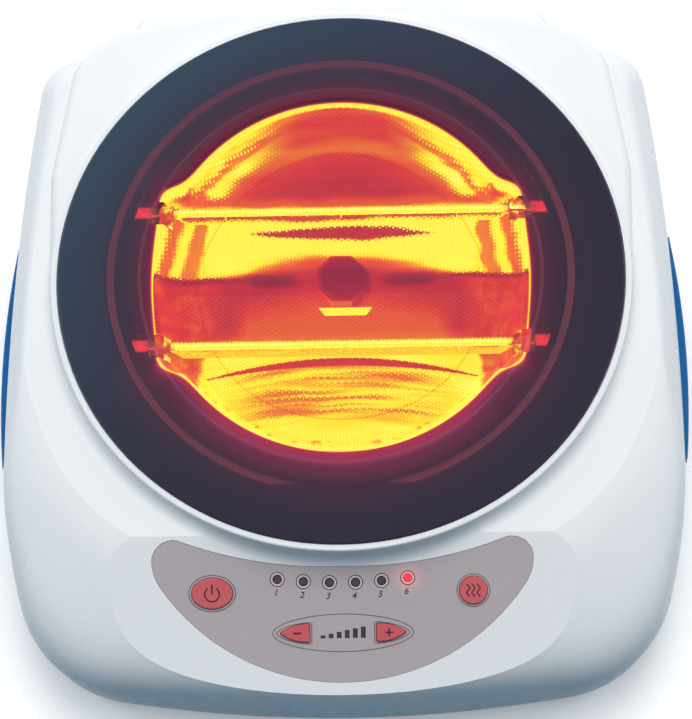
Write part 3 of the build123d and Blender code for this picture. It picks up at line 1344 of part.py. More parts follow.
with BuildPart() as fan_frame:
    with BuildSketch(Plane.XY.offset(FAN_BOTTOM)):
        with Locations(FAN_AT):
            RectangleRounded(FAN_SIZE, FAN_SIZE, FAN_CORNER)
            Circle(FAN_DUCT_RADIUS, mode=Mode.SUBTRACT)
        with Locations(*FAN_SCREWS[1:3]):
            Circle(SCREW_RADIUS + SCREW_PASS, mode=Mode.SUBTRACT)
    extrude(amount=FAN_HEIGHT)
    with BuildSketch(Plane.XY.offset(FAN_BOTTOM)):
        with Locations(FAN_AT):
            Circle(FAN_HUB_RADIUS - 1)
            with PolarLocations(FAN_DUCT_RADIUS / 2 + 1, 3):
                Rectangle(FAN_DUCT_RADIUS, 4)
    extrude(amount=FAN_STRUT)
    with BuildSketch(Plane.XY.offset(FAN_BOTTOM + FAN_STRUT)):
        with Locations(FAN_AT):
            Circle(SHAFT_RADIUS)
    extrude(amount=FAN_HEIGHT - FAN_STRUT - 2.5)
write(fan_frame, "fan_frame")

hub_bottom = FAN_BOTTOM + FAN_STRUT + FAN_ROTOR_GAP
hub_height = FAN_HEIGHT - FAN_STRUT - FAN_ROTOR_GAP - 1
with BuildPart() as fan_rotor:
    with BuildSketch(Plane.XY.offset(hub_bottom)):
        with Locations(FAN_AT):
            Circle(FAN_HUB_RADIUS)
    extrude(amount=hub_height)
    chamfer(fan_rotor.faces().sort_by(Axis.Z)[-1].edges(), length=FAN_HUB_EDGE)
    blade_middle = hub_bottom + hub_height / 2
    blade_plane = Plane(origin=(fan_x, fan_y, blade_middle), x_dir=(0, 1, 0), z_dir=(1, 0, 0))
    for blade in range(FAN_BLADES):
        turned = blade_plane.rotated((0, 0, 360 * blade / FAN_BLADES), ordering=Extrinsic.XYZ)
        with BuildSketch(turned.offset(FAN_HUB_RADIUS - 1)):
            Rectangle(FAN_BLADE_WIDTH, FAN_BLADE_THICKNESS, rotation=FAN_BLADE_PITCH)
        extrude(amount=FAN_DUCT_RADIUS - FAN_HUB_RADIUS + 2)
    with BuildSketch(Plane.XY.offset(FAN_BOTTOM)):
        with Locations(FAN_AT):
            Circle(FAN_DUCT_RADIUS - FAN_TIP_GAP)
    extrude(amount=FAN_HEIGHT, mode=Mode.INTERSECT)
    with BuildSketch(Plane.XY.offset(FAN_BOTTOM)):
        with Locations(FAN_AT):
            Circle(SHAFT_RADIUS + SHAFT_GAP)
    extrude(amount=FAN_HEIGHT - 2, mode=Mode.SUBTRACT)
write(fan_rotor, "fan_rotor")

fan_head_face = Plane(origin=(0, 0, FAN_TOP), x_dir=(1, 0, 0), z_dir=(0, 0, -1))
mirrored_places = [(place[0], -place[1]) for place in FAN_SCREWS[1:3]]
write(
    screws(
        mirrored_places,
        fan_head_face,
        SCREW_RADIUS,
        SMALL_HEAD_RADIUS,
        SMALL_HEAD_HEIGHT,
        FAN_HEIGHT + 2,
    ),
    "fan_screws",
)

# ---------------------------------------------------------------- key panel

with BuildPart() as panel_plate:
    with BuildSketch(PANEL_PLANE.offset(-PANEL_RECESS)):
        add(panel_outline(PANEL_GAP))
        for outline in KEY_OUTLINES.values():
            add(outline(KEY_GAP), mode=Mode.SUBTRACT)
        with Locations(*LIGHT_CENTRES):
            Circle(LIGHT_RADIUS + LIGHT_GAP, mode=Mode.SUBTRACT)
    extrude(amount=PANEL_THICKNESS)
write(panel_plate, "panel_plate")

for name, outline in KEY_OUTLINES.items():
    with BuildPart() as key:
        with BuildSketch(PANEL_PLANE.offset(FLANGE_TOP)):
            add(outline(0))
        extrude(amount=KEY_PROUD - FLANGE_TOP)
        chamfer(key.faces().sort_by(Axis(PANEL_PLANE.origin, PANEL_PLANE.z_dir))[-1].edges(), length=KEY_EDGE)
        with BuildSketch(PANEL_PLANE.offset(FLANGE_TOP)):
            add(outline(KEY_FLANGE))
        extrude(amount=-KEY_FLANGE_THICKNESS)
        with BuildSketch(PANEL_PLANE.offset(FLANGE_TOP)):
            with Locations(KEY_CENTRES[name]):
                Circle(STEM_RADIUS)
        extrude(amount=KEY_BOTTOM - FLANGE_TOP)
    write(key, name)

light_top = PANEL_THICKNESS - PANEL_RECESS + LIGHT_PROUD
for index, (light_u, light_v) in enumerate(LIGHT_CENTRES, start=1):
    with BuildPart() as indicator:
        with BuildSketch(Plane.XZ):
            Polygon(
                (0, DISPLAY_BOARD_TOP),
                (LIGHT_RADIUS, DISPLAY_BOARD_TOP),
                (LIGHT_RADIUS, light_top - LIGHT_EDGE),
                (LIGHT_RADIUS - LIGHT_EDGE, light_top),
                (0, light_top),
                align=None,
            )
        revolve(axis=Axis.Z)
        place = PANEL_PLANE.location * Location((light_u, light_v, 0))
        add(indicator.part.moved(place), mode=Mode.REPLACE)
    write(indicator, f"indicator_{index}")

with BuildPart() as display_board:
    with BuildSketch(PANEL_PLANE.offset(DISPLAY_BOARD_TOP)):
        add(panel_outline(BOARD_INSET))
        with Locations(*BOARD_POSTS):
            Circle(BOARD_SCREW_RADIUS + 0.2, mode=Mode.SUBTRACT)
    extrude(amount=-BOARD_THICKNESS)
write(display_board, "display_board")

with BuildPart() as tact_switches:
    with BuildSketch(PANEL_PLANE.offset(DISPLAY_BOARD_TOP)):
        with Locations(*KEY_CENTRES.values()):
            Rectangle(SWITCH_SIZE, SWITCH_SIZE)
    extrude(amount=SWITCH_BODY)
    with BuildSketch(PANEL_PLANE.offset(DISPLAY_BOARD_TOP)):
        with Locations(*KEY_CENTRES.values()):
            Circle(PLUNGER_RADIUS)
    extrude(amount=SWITCH_BODY + PLUNGER_HEIGHT)
write(tact_switches, "tact_switches")

board_under = PANEL_PLANE.offset(DISPLAY_BOARD_TOP - BOARD_THICKNESS)
write(
    screws(
        BOARD_POSTS,
        board_under,
        BOARD_SCREW_RADIUS,
        DISPLAY_HEAD_RADIUS,
        DISPLAY_HEAD_HEIGHT,
        DISPLAY_SCREW_DEPTH,
    ),
    "display_screws",
)

with BuildPart() as ribbon_cable:
    socket = board_under.from_local_coords((RIBBON_X, RIBBON_V, -PLUG_HEIGHT / 2))
    with BuildSketch(board_under):
        with Locations((RIBBON_X, RIBBON_V)):
            Rectangle(RIBBON_WIDTH + 3, PLUG_DEPTH)
    extrude(amount=-PLUG_HEIGHT)
    with BuildSketch(Plane.XY.offset(board_top)):
        with Locations((RIBBON_X, RIBBON_END_Y)):
            Rectangle(RIBBON_WIDTH + 3, PLUG_DEPTH)
    extrude(amount=PLUG_HEIGHT + 1)
    with BuildSketch(Plane.YZ.offset(RIBBON_X - RIBBON_WIDTH / 2)):
        with BuildLine():
            FilletPolyline(
                (socket.Y, socket.Z),
                (socket.Y - 1, RIBBON_BEND_Z),
                (RIBBON_END_Y, RIBBON_BEND_Z),
                (RIBBON_END_Y, board_top + PLUG_HEIGHT),
                radius=4,
            )
        trace(line_width=RIBBON_THICKNESS)
    extrude(amount=RIBBON_WIDTH)
write(ribbon_cable, "ribbon_cable")
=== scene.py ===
"""Portable halogen cooktop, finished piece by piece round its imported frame.

Metres, +Z up, the keys at the front facing -Y. Sections follow the order in which it is put together."""

import math

import bmesh
import bpy
from mathutils import Matrix, Vector


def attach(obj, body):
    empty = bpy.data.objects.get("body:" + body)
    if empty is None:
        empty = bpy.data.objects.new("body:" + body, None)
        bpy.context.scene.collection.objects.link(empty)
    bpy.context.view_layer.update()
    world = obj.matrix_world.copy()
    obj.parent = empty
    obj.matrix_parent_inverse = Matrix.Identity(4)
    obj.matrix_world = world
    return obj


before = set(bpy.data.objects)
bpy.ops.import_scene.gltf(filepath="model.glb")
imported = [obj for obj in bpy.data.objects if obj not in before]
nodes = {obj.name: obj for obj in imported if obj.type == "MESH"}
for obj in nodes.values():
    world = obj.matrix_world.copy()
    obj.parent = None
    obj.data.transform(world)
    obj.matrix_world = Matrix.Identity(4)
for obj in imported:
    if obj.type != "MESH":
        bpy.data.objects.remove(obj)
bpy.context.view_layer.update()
MM = 0.001

# ---------------------------------------------------------------- camera
# A long lens high above the front of the cooktop, a little to its right and rolled a little.
# It looks down at 67 degrees, so the glass, the keys and the front wall all show.
camera = bpy.data.objects.new("camera", bpy.data.cameras.new("camera"))
bpy.context.scene.collection.objects.link(camera)
camera.location = (45.064 * MM, -538.088 * MM, 1420.702 * MM)
camera.rotation_euler = [math.radians(angle) for angle in (20.919, 1.9034, -0.2395)]
camera.data.sensor_width = 36
camera.data.lens = 142.18
camera.data.clip_start = 0.05
bpy.context.scene.camera = camera

# ---------------------------------------------------------------- studio
# A white table under three soft lamps, and a sky that is white overhead, dim low behind and a dim
# blue-green low in front. Rays that are seen, and not lit by, meet plain white.
bpy.context.scene.view_settings.view_transform = "Standard"
WHITE = (1, 1, 1, 1)
UNLIT = (0, 0, 0, 1)
FORWARD_DIM = 0.7       # how much sooner the sky dims towards the front than upwards
TABLE_HALF = 6          # metres from the middle of the table to its edge


def paint(red, green, blue):
    """A screen colour, 0 to 255, as the linear colour that a shader takes."""
    channels = []
    for value in (red, green, blue):
        share = value / 255
        channels.append(share / 12.92 if share <= 0.04045 else ((share + 0.055) / 1.055) ** 2.4)
    return (*channels, 1.0)


def soft_lamp(name, place, aim, size, power, colour):
    """A square area lamp at a place, turned towards a point."""
    light = bpy.data.lights.new(name, "AREA")
    light.size = size
    light.energy = power
    light.color = paint(*colour)[:3]
    lamp = bpy.data.objects.new(name, light)
    bpy.context.scene.collection.objects.link(lamp)
    lamp.location = place
    lamp.visible_glossy = False
    lamp.rotation_euler = (Vector(aim) - Vector(place)).to_track_quat("-Z", "Y").to_euler()


soft_lamp("overhead_lamp", (0.2, 1.9, 3.6), (0, 0.1, 0.05), 2.6, 66, (255, 255, 255))
soft_lamp("right_lamp", (1.4, 0.5, 0.55), (0.1, 0, 0.05), 0.5, 4.0, (255, 252, 248))
soft_lamp("left_lamp", (-1.4, 0.5, 0.55), (-0.1, 0, 0.05), 0.5, 4.0, (250, 253, 255))


def seen_or_lit(tree, seen, lit):
    """Two colours by the kind of ray: one is seen, also in metal and through glass, and one gives light."""
    path = tree.nodes.new("ShaderNodeLightPath")
    widest = path.outputs["Is Camera Ray"]
    for name in ("Is Glossy Ray", "Is Transmission Ray"):
        either = tree.nodes.new("ShaderNodeMath")
        either.operation = "MAXIMUM"
        tree.links.new(widest, either.inputs[0])
        tree.links.new(path.outputs[name], either.inputs[1])
        widest = either.outputs[0]
    choice = tree.nodes.new("ShaderNodeMix")
    choice.data_type = "RGBA"
    tree.links.new(widest, choice.inputs["Factor"])
    if isinstance(lit, bpy.types.NodeSocket):
        tree.links.new(lit, choice.inputs["A"])
    else:
        choice.inputs["A"].default_value = lit
    choice.inputs["B"].default_value = seen
    return choice.outputs["Result"]


def sky_light(tree):
    """Light by where it comes from: white overhead, dim low behind, and a dim blue-green in front."""
    way = tree.nodes.new("ShaderNodeSeparateXYZ")
    tree.links.new(tree.nodes.new("ShaderNodeTexCoord").outputs["Generated"], way.inputs[0])
    behind = tree.nodes.new("ShaderNodeMath")
    behind.operation = "MULTIPLY_ADD"
    tree.links.new(way.outputs["Y"], behind.inputs[0])
    behind.inputs[1].default_value = -FORWARD_DIM
    behind.inputs[2].default_value = FORWARD_DIM
    height = tree.nodes.new("ShaderNodeMath")
    height.operation = "MULTIPLY_ADD"
    tree.links.new(way.outputs["Y"], height.inputs[0])
    tree.links.new(behind.outputs[0], height.inputs[1])
    tree.links.new(way.outputs["Z"], height.inputs[2])
    shade = tree.nodes.new("ShaderNodeValToRGB")
    tree.links.new(height.outputs[0], shade.inputs[0])
    low, high = shade.color_ramp.elements
    middle = shade.color_ramp.elements.new(0.48)
    low.color = (0.01, 0.10, 0.16, 1)
    middle.color = (0.12, 0.36, 0.48, 1)
    high.color = WHITE
    high.position = 0.95
    return shade.outputs[0]


world = bpy.data.worlds.new("studio")
bpy.context.scene.world = world
world.use_nodes = True
backdrop = world.node_tree.nodes["Background"]
world.node_tree.links.new(
    seen_or_lit(world.node_tree, WHITE, sky_light(world.node_tree)), backdrop.inputs["Color"]
)

table_form = bmesh.new()
bmesh.ops.create_grid(table_form, x_segments=1, y_segments=1, size=TABLE_HALF)
table_mesh = bpy.data.meshes.new("table")
table_form.to_mesh(table_mesh)
table_form.free()
table = bpy.data.objects.new("table", table_mesh)
bpy.context.scene.collection.objects.link(table)
table_finish = bpy.data.materials.new("table_white")
table_finish.use_nodes = True
table_tree = table_finish.node_tree
table_shader = table_tree.nodes["Principled BSDF"]
table_shader.inputs["Roughness"].default_value = 0.9
table_shader.inputs["Emission Strength"].default_value = 0.22
table_tree.links.new(
    seen_or_lit(table_tree, paint(250, 250, 251), paint(4, 80, 116)), table_shader.inputs["Base Color"]
)
table_tree.links.new(seen_or_lit(table_tree, WHITE, UNLIT), table_shader.inputs["Emission Color"])

# the table is clear from below, so that the underside of the cooktop shows
table_side = table_tree.nodes.new("ShaderNodeNewGeometry")
table_clear = table_tree.nodes.new("ShaderNodeBsdfTransparent")
from_below = table_tree.nodes.new("ShaderNodeMixShader")
table_tree.links.new(table_side.outputs["Backfacing"], from_below.inputs[0])
table_tree.links.new(table_shader.outputs[0], from_below.inputs[1])
table_tree.links.new(table_clear.outputs[0], from_below.inputs[2])
table_tree.links.new(from_below.outputs[0], table_tree.nodes["Material Output"].inputs["Surface"])
table_mesh.materials.append(table_finish)

# ---------------------------------------------------------------- base tray
# The off-white polypropylene tray closes the housing from below. It is moulded in one with its upstand,
# its screw bosses and the towers under the heater, and six screws hold it.


class Finish:
    """A Principled material, with short calls for the nodes that give its colour, gloss and relief."""

    def __init__(self, name, **plain):
        self.material = bpy.data.materials.new(name)
        self.material.use_nodes = True
        self.tree = self.material.node_tree
        self.shader = self.tree.nodes["Principled BSDF"]
        self.at = self.tree.nodes.new("ShaderNodeTexCoord").outputs["Object"]
        for socket, value in plain.items():
            self.shader.inputs[socket.replace("_", " ").title().replace("Ior", "IOR")].default_value = value

    def feed(self, socket, value):
        """Gives a socket a number, a colour or another node's output."""
        if isinstance(value, bpy.types.NodeSocket):
            self.tree.links.new(value, socket)
        elif value is not None:
            grey = socket.type == "RGBA" and not isinstance(value, tuple)
            socket.default_value = (value, value, value, 1.0) if grey else value

    def drive(self, **sockets):
        """Feeds the shader's own sockets."""
        for socket, value in sockets.items():
            self.feed(self.shader.inputs[socket.replace("_", " ").title()], value)

    def math(self, operation, first, second=None, third=None):
        """One Math node."""
        node = self.tree.nodes.new("ShaderNodeMath")
        node.operation = operation
        for socket, value in zip(node.inputs, (first, second, third)):
            self.feed(socket, value)
        return node.outputs[0]

    def axes(self, vector=None):
        """The three parts of a vector, the object's own coordinates unless told otherwise."""
        node = self.tree.nodes.new("ShaderNodeSeparateXYZ")
        self.feed(node.inputs[0], vector or self.at)
        return node.outputs

    def drawn(self, scale):
        """Object coordinates scaled by axis, so that a pattern on them is drawn out."""
        node = self.tree.nodes.new("ShaderNodeMapping")
        self.feed(node.inputs["Vector"], self.at)
        node.inputs["Scale"].default_value = scale
        return node.outputs[0]

    def noise(self, scale, detail=3.0, vector=None):
        """Soft noise, with this many swings to the metre."""
        node = self.tree.nodes.new("ShaderNodeTexNoise")
        self.feed(node.inputs["Vector"], vector or self.at)
        node.inputs["Scale"].default_value = scale
        node.inputs["Detail"].default_value = detail
        return node.outputs["Fac"]

    def ramp(self, value, *stops):
        """A colour ramp from (place, colour or grey) stops."""
        node = self.tree.nodes.new("ShaderNodeValToRGB")
        self.feed(node.inputs[0], value)
        points = node.color_ramp.elements
        while len(points) < len(stops):
            points.new(1.0)
        for point, (place, colour) in zip(points, stops):
            point.position = place
            point.color = colour if isinstance(colour, tuple) else (colour, colour, colour, 1)
        return node.outputs[0]

    def between(self, share, first, second):
        """A colour or a number between two."""
        node = self.tree.nodes.new("ShaderNodeMix")
        node.data_type = "RGBA"
        self.feed(node.inputs["Factor"], share)
        self.feed(node.inputs["A"], first)
        self.feed(node.inputs["B"], second)
        return node.outputs["Result"]

    def span(self, value, low, high, start=0.0, end=1.0):
        """A value from one range, in another."""
        node = self.tree.nodes.new("ShaderNodeMapRange")
        names = ("Value", "From Min", "From Max", "To Min", "To Max")
        for name, part in zip(names, (value, low, high, start, end)):
            self.feed(node.inputs[name], part)
        return node.outputs[0]

    def relief(self, height, depth):
        """Bumps the surface by a height of 0 to 1, as deep as this in metres."""
        node = self.tree.nodes.new("ShaderNodeBump")
        node.inputs["Strength"].default_value = 1.0
        node.inputs["Distance"].default_value = depth
        self.feed(node.inputs["Height"], height)
        self.tree.links.new(node.outputs[0], self.shader.inputs["Normal"])
        return self


def moulded(name, light, dark, grain, gloss, depth, **plain):
    """Moulded plastic or rubber: two close tones in soft patches, uneven gloss and a fine grain."""
    made = Finish(name, **plain)
    made.drive(
        base_color=made.between(made.noise(22), paint(*light), paint(*dark)),
        roughness=made.span(made.noise(90), 0.3, 0.7, *gloss),
    )
    return made.relief(made.noise(grain, 2.0), depth)


def wear(finish, *names):
    """Puts a finish on nodes or pieces."""
    for name in names:
        piece = nodes[name] if isinstance(name, str) else name
        piece.data.materials.clear()
        piece.data.materials.append(finish.material)


tray_plastic = moulded(
    "tray_plastic", (226, 228, 231), (214, 217, 222), grain=2600, gloss=(0.42, 0.55), depth=0.00008
)
wear(tray_plastic, "base_tray")

# ---------------------------------------------------------------- feet and tray screws
# Black rubber feet are pressed through the tray on their spigots.
# Zinc-plated self-tapping screws hold the tray, the boards and the fan.
foot_rubber = moulded(
    "foot_rubber", (38, 38, 40), (26, 26, 28), grain=1900, gloss=(0.62, 0.8), depth=0.0001
)
wear(foot_rubber, "foot_front_left", "foot_front_right", "foot_rear_left", "foot_rear_right")


def metal(name, light, dark, gloss, scratch=(1, 1, 1)):
    """Sheet or turned metal: fine drawn marks along one way, in colour, gloss and relief."""
    made = Finish(name, metallic=1.0)
    marks = made.noise(700, 4.0, made.drawn(scratch))
    made.drive(
        base_color=made.between(made.span(marks, 0.3, 0.7), paint(*light), paint(*dark)),
        roughness=made.span(marks, 0.3, 0.7, *gloss),
    )
    return made.relief(marks, 0.00002)


screw_zinc = metal("screw_zinc", (196, 198, 200), (150, 153, 158), gloss=(0.25, 0.42))
wear(screw_zinc, "base_screws", "board_screws", "display_screws", "fan_screws")

# ---------------------------------------------------------------- power board
# A green glass-epoxy board in the bottom of the housing, with its parts soldered on, and a like one for
# the display. Each part keeps the colour of its own case.


def board(name):
    """Green lacquered circuit board, with copper tracks showing through the lacquer."""
    made = Finish(name, coat_weight=0.3)
    across = made.tree.nodes.new("ShaderNodeTexBrick")
    made.feed(across.inputs["Vector"], made.drawn((1, 1, 0)))
    across.inputs["Scale"].default_value = 160
    across.inputs["Mortar Size"].default_value = 0.12
    across.inputs["Color1"].default_value = paint(22, 92, 52)
    across.inputs["Color2"].default_value = paint(28, 104, 60)
    across.inputs["Mortar"].default_value = paint(46, 132, 70)
    made.drive(base_color=across.outputs["Color"], roughness=made.span(made.noise(300), 0.3, 0.7, 0.3, 0.45))
    return made.relief(across.outputs["Fac"], 0.00004)


wear(board("board_lacquer"), "power_board", "display_board")
relay_black = moulded(
    "relay_black", (34, 34, 36), (24, 24, 26), grain=2400, gloss=(0.35, 0.5), depth=0.00005
)
wear(relay_black, "relay", "triac", "tact_switches")
capacitor_yellow = moulded(
    "capacitor_yellow", (226, 178, 52), (212, 160, 40), grain=2400, gloss=(0.3, 0.45), depth=0.00005
)
wear(capacitor_yellow, "filter_capacitor")
transformer_blue = moulded(
    "transformer_blue", (46, 88, 168), (36, 72, 148), grain=1800, gloss=(0.4, 0.55), depth=0.00006
)
wear(transformer_blue, "transformer")
heatsink_aluminium = metal(
    "heatsink_aluminium", (186, 188, 192), (150, 152, 158), gloss=(0.35, 0.5), scratch=(0.05, 1, 1)
)
wear(heatsink_aluminium, "heatsink")
ribbon_grey = moulded(
    "ribbon_grey", (168, 170, 174), (140, 142, 148), grain=900, gloss=(0.45, 0.6), depth=0.00008
)
wear(ribbon_grey, "ribbon_cable")
terminal_black = moulded(
    "terminal_black", (40, 40, 42), (30, 30, 32), grain=2000, gloss=(0.4, 0.55), depth=0.00006
)
wear(terminal_black, "terminal_block")

# ---------------------------------------------------------------- fan
# A flat black fan of glass-filled nylon is screwed to the tray over its air slots.
# The rotor turns on the shaft of the frame, and draws air in past the board.
fan_black = moulded("fan_black", (40, 41, 44), (28, 29, 31), grain=2200, gloss=(0.35, 0.5), depth=0.00006)
wear(fan_black, "fan_frame", "fan_rotor")

# ---------------------------------------------------------------- cord inlet
# A grey rubber bushing is clipped into the rear boss.
# The mains cord comes through its bore.
bushing_grey = moulded(
    "bushing_grey", (88, 90, 95), (74, 76, 81), grain=2000, gloss=(0.5, 0.65), depth=0.00008
)
wear(bushing_grey, "cord_bushing")

# ---------------------------------------------------------------- housing
# One glossy white ABS moulding, screwed to the tray from below.
# The boss for the cord is a part of its own in the same plastic, let into the rear wall.
shell_plastic = moulded(
    "shell_plastic", (238, 239, 240), (236, 237, 239),
    grain=240, gloss=(0.26, 0.3), depth=0.000004, specular_ior_level=0.12,
)
wear(shell_plastic, "top_shell", "cord_boss")

# ---------------------------------------------------------------- side grips
# Deep blue polypropylene grips, each a bar and a finger pocket in one moulding with a fine grain.
# They are pressed into the sides of the housing.
grip_plastic = moulded(
    "grip_plastic", (0, 98, 162), (0, 86, 148),
    grain=1500, gloss=(0.4, 0.5), depth=0.0001, specular_ior_level=0.2,
)
wear(grip_plastic, "left_grip", "right_grip")

# ---------------------------------------------------------------- heater
# A pressed steel pan on three springs holds a dimpled aluminium dish, two lamps and a ring of insulation.
# The lamps are lit. What the dish throws back of their light is painted on it as a glow of its own, in
# yellow, orange and red bands, and the light it spills on the parts round it is painted too.
SEEN_THROUGH = 0.17     # what the dark glass lets through of the glow under it
HEATER_Y = 22.0         # millimetres from here on: the middle of the heater behind that of the housing
DISH_RADIUS = 95.6
REAR_BULGE = 3.0        # what the dish gains towards its rear
EAR_HALF_WIDTH = 94.2
EAR_HALF_DEPTH = 51.0
DIMPLE_PITCH = 1.8
LAMP_Y = 37.0           # the axis of each lamp, before and behind the middle of the heater
TUBE_TOP = 73.5         # the height over which a lamp's tube shows its lit core
BOSS_X = 2.0
CIRCLE_RADIUS = 74.0


def heater_place(finish):
    """Millimetres across and along from the middle of the heater."""
    x, y, _ = finish.axes()
    return finish.math("MULTIPLY", x, 1000.0), finish.math("MULTIPLY_ADD", y, 1000.0, -HEATER_Y)


def from_middle(finish, x, y):
    """How far a point lies from the middle of the heater."""
    flat = finish.tree.nodes.new("ShaderNodeCombineXYZ")
    finish.feed(flat.inputs[0], x)
    finish.feed(flat.inputs[1], y)
    away = finish.tree.nodes.new("ShaderNodeVectorMath")
    away.operation = "LENGTH"
    finish.feed(away.inputs[0], flat.outputs[0])
    return away.outputs["Value"]


def inside_outline(finish, x, y):
    """How far a point lies inside the outline of the dish, a disc with an ear on each side."""
    bulge = finish.math("MULTIPLY", finish.span(y, 40, 100), REAR_BULGE)
    disc = finish.math("SUBTRACT", finish.math("ADD", DISH_RADIUS, bulge), from_middle(finish, x, y))
    ear_x = finish.math("SUBTRACT", EAR_HALF_WIDTH, finish.math("ABSOLUTE", x))
    ear_y = finish.math("SUBTRACT", EAR_HALF_DEPTH, finish.math("ABSOLUTE", y))
    ear = finish.math("SMOOTH_MIN", ear_x, ear_y, 16.0)
    return finish.math("SMOOTH_MAX", disc, ear, 15.0)


def dimples(finish, x, y):
    """Round dimples in a honeycomb, from -1 to 1."""
    total = None
    for turn in (0, 60, 120):
        along = math.radians(turn)
        across = finish.math(
            "ADD",
            finish.math("MULTIPLY", x, math.cos(along) * 2 * math.pi / DIMPLE_PITCH),
            finish.math("MULTIPLY", y, math.sin(along) * 2 * math.pi / DIMPLE_PITCH),
        )
        swing = finish.math("COSINE", across)
        total = swing if total is None else finish.math("ADD", total, swing)
    return finish.math("MULTIPLY", total, 0.33)


def stretch(finish, value, middle, half, soft):
    """1 within half of the middle, fading to 0 over the soft width beyond it."""
    away = finish.math("ABSOLUTE", finish.math("SUBTRACT", value, middle))
    return finish.span(finish.math("SUBTRACT", away, half), 0.0, soft, 1.0, 0.0)


def faces_up(finish):
    """1 on faces that look up or sideways, 0 on an underside."""
    looks = finish.axes(finish.tree.nodes.new("ShaderNodeNewGeometry").outputs["Normal"])
    return finish.math("GREATER_THAN", looks[2], -0.02)


def steps(finish, value, low, high, *stops):
    """A number along a line of (place, number) stops between two places."""
    return finish.ramp(
        finish.span(value, low, high), *[((place - low) / (high - low), level) for place, level in stops]
    )


# colours by level: of the lamps' own light, and of the light painted on the dish and round it
GLOW_COLOURS = (
    (0.00, paint(70, 22, 48)), (0.12, paint(120, 30, 60)), (0.30, paint(172, 38, 64)),
    (0.48, paint(210, 52, 58)), (0.62, paint(222, 88, 54)), (0.74, paint(230, 132, 50)),
    (0.84, paint(246, 200, 46)), (0.93, paint(250, 238, 48)), (1.00, paint(255, 252, 150)),
)
BRIGHT = 0.94           # the level of a painted clean reflection of a lamp


def glow(finish, glow_level, share=None):
    """Light of the colour of a level of 0 to 1, as seen through the dark glass: the lamps' own light, and
    light painted on the dish.
    """
    colour = finish.ramp(glow_level, *GLOW_COLOURS)
    if share is not None:
        colour = finish.between(share, UNLIT, colour)
    finish.drive(emission_color=colour, emission_strength=1 / SEEN_THROUGH)


dish = Finish("dish_aluminium", metallic=1.0)
x, y = heater_place(dish)
radius = from_middle(dish, x, y)
inside = inside_outline(dish, x, y)
bump = dimples(dish, x, y)
aside = dish.math("ABSOLUTE", x)
square = dish.math("MULTIPLY", x, x)
waves = dish.math("SUBTRACT", dish.noise(70, 3.0, dish.drawn((0.4, 1, 1))), 0.5)
ragged = dish.math("ADD", dish.math("MULTIPLY", bump, 1.2), dish.math("MULTIPLY", waves, 7.0))
rough_y = dish.math("ADD", y, ragged)
rough_aside = dish.math("ADD", aside, ragged)
rough_radius = dish.math("ADD", radius, ragged)

# painted reflection of the lamps: behind the rear lamp the bands follow the rim
far_middle = steps(
    dish, rough_radius, 40, 100, (40, 0.5), (47, 0.56), (51, 0.36), (62, 0.36), (70, 0.44), (74, 0.5),
    (77, 0.68), (80, 0.66), (83, 0.52), (92, 0.5), (94, 0.6), (100, 0.6),
)
far_sides = steps(
    dish, rough_radius, 40, 100, (40, 0.45), (62, 0.38), (72, 0.46), (79, 0.62), (81, 0.78), (83, 0.93),
    (87.5, 0.95), (88.5, 0.74), (90, 0.66), (91, 0.9), (100, 0.93),
)
far = dish.between(dish.span(rough_aside, 22, 50), far_middle, far_sides)
# painted streaks in the reflection, drawn out across the dish
grain = dish.math("SUBTRACT", dish.noise(160, 4.0, dish.drawn((0.12, 1, 1))), 0.5)
far = dish.math("MULTIPLY_ADD", grain, 0.22, far)
by_lamp = steps(
    dish, rough_y, 36, 56, (36, 0.93), (39.5, 0.93), (41, 0.4), (43, 0.42), (44.5, 0.88), (46, 0.84),
    (48, 0.6), (51, 0.56), (56, 0.5),
)
far = dish.between(dish.span(rough_y, 53, 50), far, by_lamp)
ear_spot = dish.between(stretch(dish, rough_y, 53, 3, 2), far, 0.42)
far = dish.between(stretch(dish, rough_aside, 84, 3, 2), far, ear_spot)

# painted reflection between the lamps: a yellow field behind the middle, red in front of it, with painted dim
# patches and a painted dark line
sunk = dish.math("MULTIPLY", dish.span(aside, 16, 60, 0.0, 13.0), stretch(dish, y, 0, 8, 18))
across = dish.math("ADD", rough_y, sunk)
between_lamps = steps(
    dish, across, -40, 40, (-40, 0.86), (-33, 0.84), (-30, 0.68), (-24, 0.62), (-14, 0.58), (-6, 0.46),
    (2, 0.34), (8, 0.44), (12, 0.54), (14.5, 0.68), (17, 0.9), (20, BRIGHT), (40, BRIGHT),
)
lens = dish.math("MULTIPLY_ADD", square, -3.4 / 45**2, 3.4)
between_lamps = dish.between(stretch(dish, rough_y, 31.5, lens, 0.8), between_lamps, 0.34)
dull_aside = stretch(dish, dish.math("MULTIPLY_ADD", y, 0.3, rough_aside), 55, 3, 9)
dull = dish.math("MULTIPLY", dull_aside, stretch(dish, y, -13, 10, 8))
between_lamps = dish.between(dull, between_lamps, 0.36)
beyond = dish.math("MULTIPLY", dish.span(rough_aside, 62, 72), stretch(dish, rough_y, -16, 14, 3))
mottled = dish.span(dish.noise(150, 2.0), 0.35, 0.7, 0.42, 0.6)
between_lamps = dish.between(beyond, between_lamps, mottled)
painted_dark_line = dish.math("MULTIPLY", stretch(dish, rough_y, 1.0, 0.9, 1.6), dish.span(aside, 24, 44))
between_lamps = dish.between(painted_dark_line, between_lamps, 0.24)
patch = dish.math("MULTIPLY", stretch(dish, y, 0.5, 2.0, 3.0), stretch(dish, aside, 35, 8, 8))
between_lamps = dish.between(patch, between_lamps, 0.17)
leaning = dish.math("ADD", rough_aside, dish.math("MULTIPLY_ADD", y, 0.16, -3.2))
